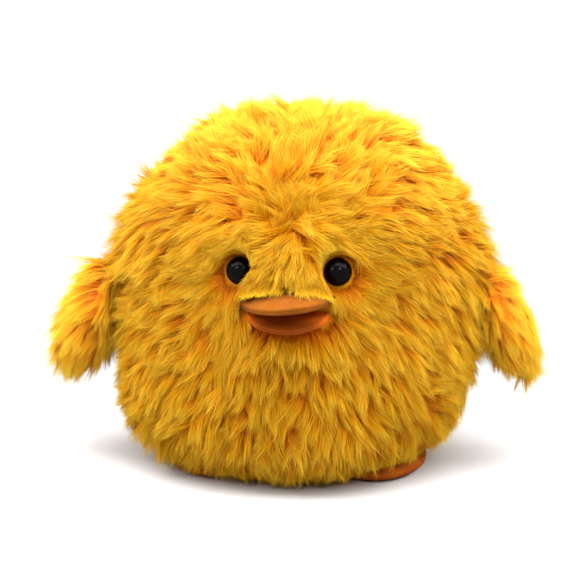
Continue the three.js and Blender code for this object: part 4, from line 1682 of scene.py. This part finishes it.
def wing_locks(reach, fringe):
    """Normals, lie and guide lines of the left wing's locks, in the chick's frame. Reach is how much
    further the outer face's pile stands out, and fringe is the share of the full length."""
    count = np.arange(WING_LOCKS)
    t = WING_ROOT + WING_RUN * ((count + 0.5) / WING_LOCKS) ** WING_RUN_POWER
    angle = even_angle(count * GOLDEN_SHARE + rng.normal(0, WING_SCATTER, WING_LOCKS))
    normals = hang_wing(wing_normals(t, angle, WING_PILE))
    roots = hang_wing(wing_point(t, angle, WING_PILE)) + WING_HINGE
    along = hang_wing(np.array([[1.0, 0.0, 0.0]]))
    fan = (roots - WING_HINGE - WING_FAN) * WING_FAN_SCALE
    swirl = WING_SWIRL_WAVE * waves(roots, length=24, seed=8) + rng.normal(0, WING_SWIRL_OWN, WING_LOCKS)
    flow = swirled(tangent(unit(fan) + WING_ALONG * along, normals), normals, swirl)
    outer = soft_step(*WING_OUTER, np.sin(angle))
    shoulder = outer * soft_step(*WING_SHOULDER, t)
    length = fringe * (WING_PILE_LENGTH + WING_OUTER_LENGTH * outer)
    length = length * rng.uniform(*WING_LENGTHS, WING_LOCKS)
    loft = WING_LOFT + (WING_OUTER_LOFT + reach) * outer + WING_SHOULDER_LOFT * shoulder
    loft = loft + rng.normal(0, LOFT_SPREAD, WING_LOCKS)
    sag = np.full(WING_LOCKS, WING_SAG)
    bend = WING_BEND_WAVE * waves(roots, length=30, seed=9) + rng.normal(0, WING_BEND_OWN, WING_LOCKS)
    return normals, flow, guide_lines(roots, normals, flow, loft, length, sag, bend, np.zeros(WING_LOCKS))


print("locks on a wing:", WING_LOCKS)

# %% Both wings
WING_REACH = {"left": -5.0, "right": 3.0}
WING_FRINGE = {"left": 0.85, "right": 1.0}
# Painted light: the wings' pile has a much paler tint than the body's, standing in for the brighter light
# that falls on the wings.
WING_TINT_PAINTED_LIGHTER = 0.94
WING_GATHER = 0.3
for wing_name, wing_side in SIDES.items():
    wing_body = f"{wing_name}_wing"
    mirror = np.array([wing_side, 1, 1])
    core = put_mesh(f"{wing_body}_core", *closed_grid(to_side(wing_core(), wing_side)), under_pile)
    dress(core, wing_body, "pile", f"{wing_body}_inner")
    wing_locks_made = wing_locks(WING_REACH[wing_name], WING_FRINGE[wing_name])
    wing_tint_and_painted_light = WING_TINT_PAINTED_LIGHTER + rng.normal(0, SHADE_SPREAD, WING_LOCKS)
    wing_wisps, out, lie, wing_tint = lock_wisps(*wing_locks_made, wing_tint_and_painted_light)
    wing_gather = np.full(len(wing_wisps), WING_GATHER)
    mirrored = [values * mirror for values in (wing_wisps, out, lie)]
    pile = pile_mesh(f"{wing_body}_pile", *mirrored, wing_tint, wing_gather, above_floor)
    dress(pile, wing_body, "pile", f"{wing_body}_outer")

# %% [markdown]
# ## Floor, light and camera
# The toy stands on a white sweep under a wide soft lamp overhead, which leaves the underside of the ball
# darker, and two small lamps give the eyes their glints. Brighter lamps would turn the floor white too,
# but would wash out the pile. So the floor keeps the toy's shadow close by and is plain white further
# off, and the world is white to the camera and to gloss, but lights the toy only a little.

# %% Floor
FLOOR_HALF = 4.0
FLOOR_WHITE = 0.86
FLOOR_BOUNCE = 0.4
SHADOW_EDGE = (0.10, 0.22)


def seen_rays(tree):
    """Light Path, and a node that is 1 for what is seen directly, in gloss or through glass."""
    ray = add_node(tree, "ShaderNodeLightPath")
    gloss = add_node(tree, "ShaderNodeMath", operation="MAXIMUM")
    seen = add_node(tree, "ShaderNodeMath", operation="MAXIMUM")
    link(tree, (ray, "Is Camera Ray", gloss, 0), (ray, "Is Glossy Ray", gloss, 1))
    link(tree, (gloss, "Value", seen, 0), (ray, "Is Transmission Ray", seen, 1))
    return ray, seen


def floor_finish():
    """White paper that keeps a shadow near the toy, and is plain white where it is seen further off."""
    material, tree, shader = new_material("white sweep")
    set_inputs(shader, {"Roughness": 0.9})
    ray, seen = seen_rays(tree)
    paper = add_node(tree, "ShaderNodeMapRange", To_Min=FLOOR_BOUNCE, To_Max=FLOOR_WHITE)
    place = add_node(tree, "ShaderNodeTexCoord")
    far = add_node(tree, "ShaderNodeVectorMath", operation="LENGTH")
    mask = add_node(tree, "ShaderNodeMapRange", From_Min=SHADOW_EDGE[0], From_Max=SHADOW_EDGE[1])
    share = add_node(tree, "ShaderNodeMath", operation="MULTIPLY")
    white = add_node(tree, "ShaderNodeEmission", Strength=1.0)
    mix = add_node(tree, "ShaderNodeMixShader")
    link(tree, (ray, "Is Camera Ray", paper, "Value"), (paper, "Result", shader, "Base Color"))
    link(tree, (place, "Object", far, 0), (far, "Value", mask, "Value"))
    link(tree, (seen, "Value", share, 0), (mask, "Result", share, 1), (share, "Value", mix, "Fac"))
    link(tree, (shader, "BSDF", mix, 1), (white, "Emission", mix, 2))
    link(tree, (mix, "Shader", tree.nodes["Material Output"], "Surface"))
    return material


corners = np.array([[-1, -1, 0], [1, -1, 0], [1, 1, 0], [-1, 1, 0]]) * FLOOR_HALF / MM
floor = put_mesh("floor", corners, np.array([[0, 1, 2], [0, 2, 3]]), floor_finish())
print("floor is", 2 * FLOOR_HALF, "m wide")

# %% World and lamps
WORLD_LIGHT = 0.08
LAMPS = {
    "top": {"place": (0.0, -0.14, 0.9), "size": (3.3, 0.95), "power": 49.0},
    "left glint": {"place": (0.36, -0.68, 0.52), "size": (0.24, 0.24), "power": 1.5},
    "right glint": {"place": (-0.41, -0.68, 0.52), "size": (0.24, 0.24), "power": 1.5},
}


def white_world():
    """White to camera, gloss and glass, and a dim white light on everything else."""
    world = bpy.data.worlds.new("studio")
    world.use_nodes = True
    tree = world.node_tree
    tree.nodes.clear()
    _, seen = seen_rays(tree)
    room = add_node(tree, "ShaderNodeBackground", Strength=WORLD_LIGHT)
    white = add_node(tree, "ShaderNodeBackground", Strength=1.0)
    set_inputs(room, {"Color": (1, 1, 1, 1)})
    set_inputs(white, {"Color": (1, 1, 1, 1)})
    mix = add_node(tree, "ShaderNodeMixShader")
    leave = add_node(tree, "ShaderNodeOutputWorld")
    link(tree, (seen, "Value", mix, "Fac"), (mix, "Shader", leave, "Surface"))
    link(tree, (room, "Background", mix, 1), (white, "Background", mix, 2))
    return world


def aim(thing, place, target):
    """Put a lamp or camera at a place, its -Z towards the target and its Y up."""
    back = unit(np.array(place, dtype=float) - np.array(target, dtype=float))
    right = unit(np.cross([0.0, 0.0, 1.0], back))
    up = np.cross(back, right)
    turn = np.eye(4)
    turn[:3] = np.stack([right, up, back, place], -1)
    thing.matrix_world = Matrix(turn.tolist())


def soft_lamp(name, place, size, power):
    """An area lamp aimed at the toy's waist; place, width and depth in metres, power in watts."""
    lamp = bpy.data.lights.new(name, "AREA")
    lamp.shape = "RECTANGLE"
    lamp.size, lamp.size_y = size
    lamp.energy = power
    thing = bpy.data.objects.new(name, lamp)
    bpy.context.scene.collection.objects.link(thing)
    aim(thing, place, (0, 0, WAIST_HEIGHT * MM))


scene = bpy.context.scene
scene.world = white_world()
for lamp_name, lamp_values in LAMPS.items():
    soft_lamp(lamp_name, **lamp_values)
print("lamps:", list(LAMPS))

# %% Camera
PHOTO_SIZE = 576
FOCAL_PIXELS = 1276
SENSOR = 36
CAMERA_TURN = 4
CAMERA_CLIMB = 10
CAMERA_DISTANCE = 600
MIDDLE_IN_PHOTO = (300, 292)
MIDDLE_HEIGHT = 78


def photo_camera():
    """A camera at the photograph's angle, aimed so that the ball's middle lands on its pixel."""
    turn = math.radians(CAMERA_TURN)
    climb = math.radians(CAMERA_CLIMB)
    back = np.array([math.sin(turn) * math.cos(climb), -math.cos(turn) * math.cos(climb), math.sin(climb)])
    right = np.array([math.cos(turn), math.sin(turn), 0.0])
    up = np.cross(back, right)
    middle = np.array([0.0, 0.0, MIDDLE_HEIGHT])
    shift_x = (PHOTO_SIZE / 2 - MIDDLE_IN_PHOTO[0]) * CAMERA_DISTANCE / FOCAL_PIXELS
    shift_y = (MIDDLE_IN_PHOTO[1] - PHOTO_SIZE / 2) * CAMERA_DISTANCE / FOCAL_PIXELS
    place = middle + CAMERA_DISTANCE * back
    data = bpy.data.cameras.new("photo camera")
    data.sensor_width = SENSOR
    data.sensor_fit = "HORIZONTAL"
    data.lens = SENSOR * FOCAL_PIXELS / PHOTO_SIZE
    camera = bpy.data.objects.new("photo camera", data)
    bpy.context.scene.collection.objects.link(camera)
    aim(camera, place * MM, (middle + shift_x * right + shift_y * up) * MM)
    return camera


scene.camera = photo_camera()
scene.view_settings.view_transform = "Standard"
print("lens:", round(scene.camera.data.lens, 1), "mm")
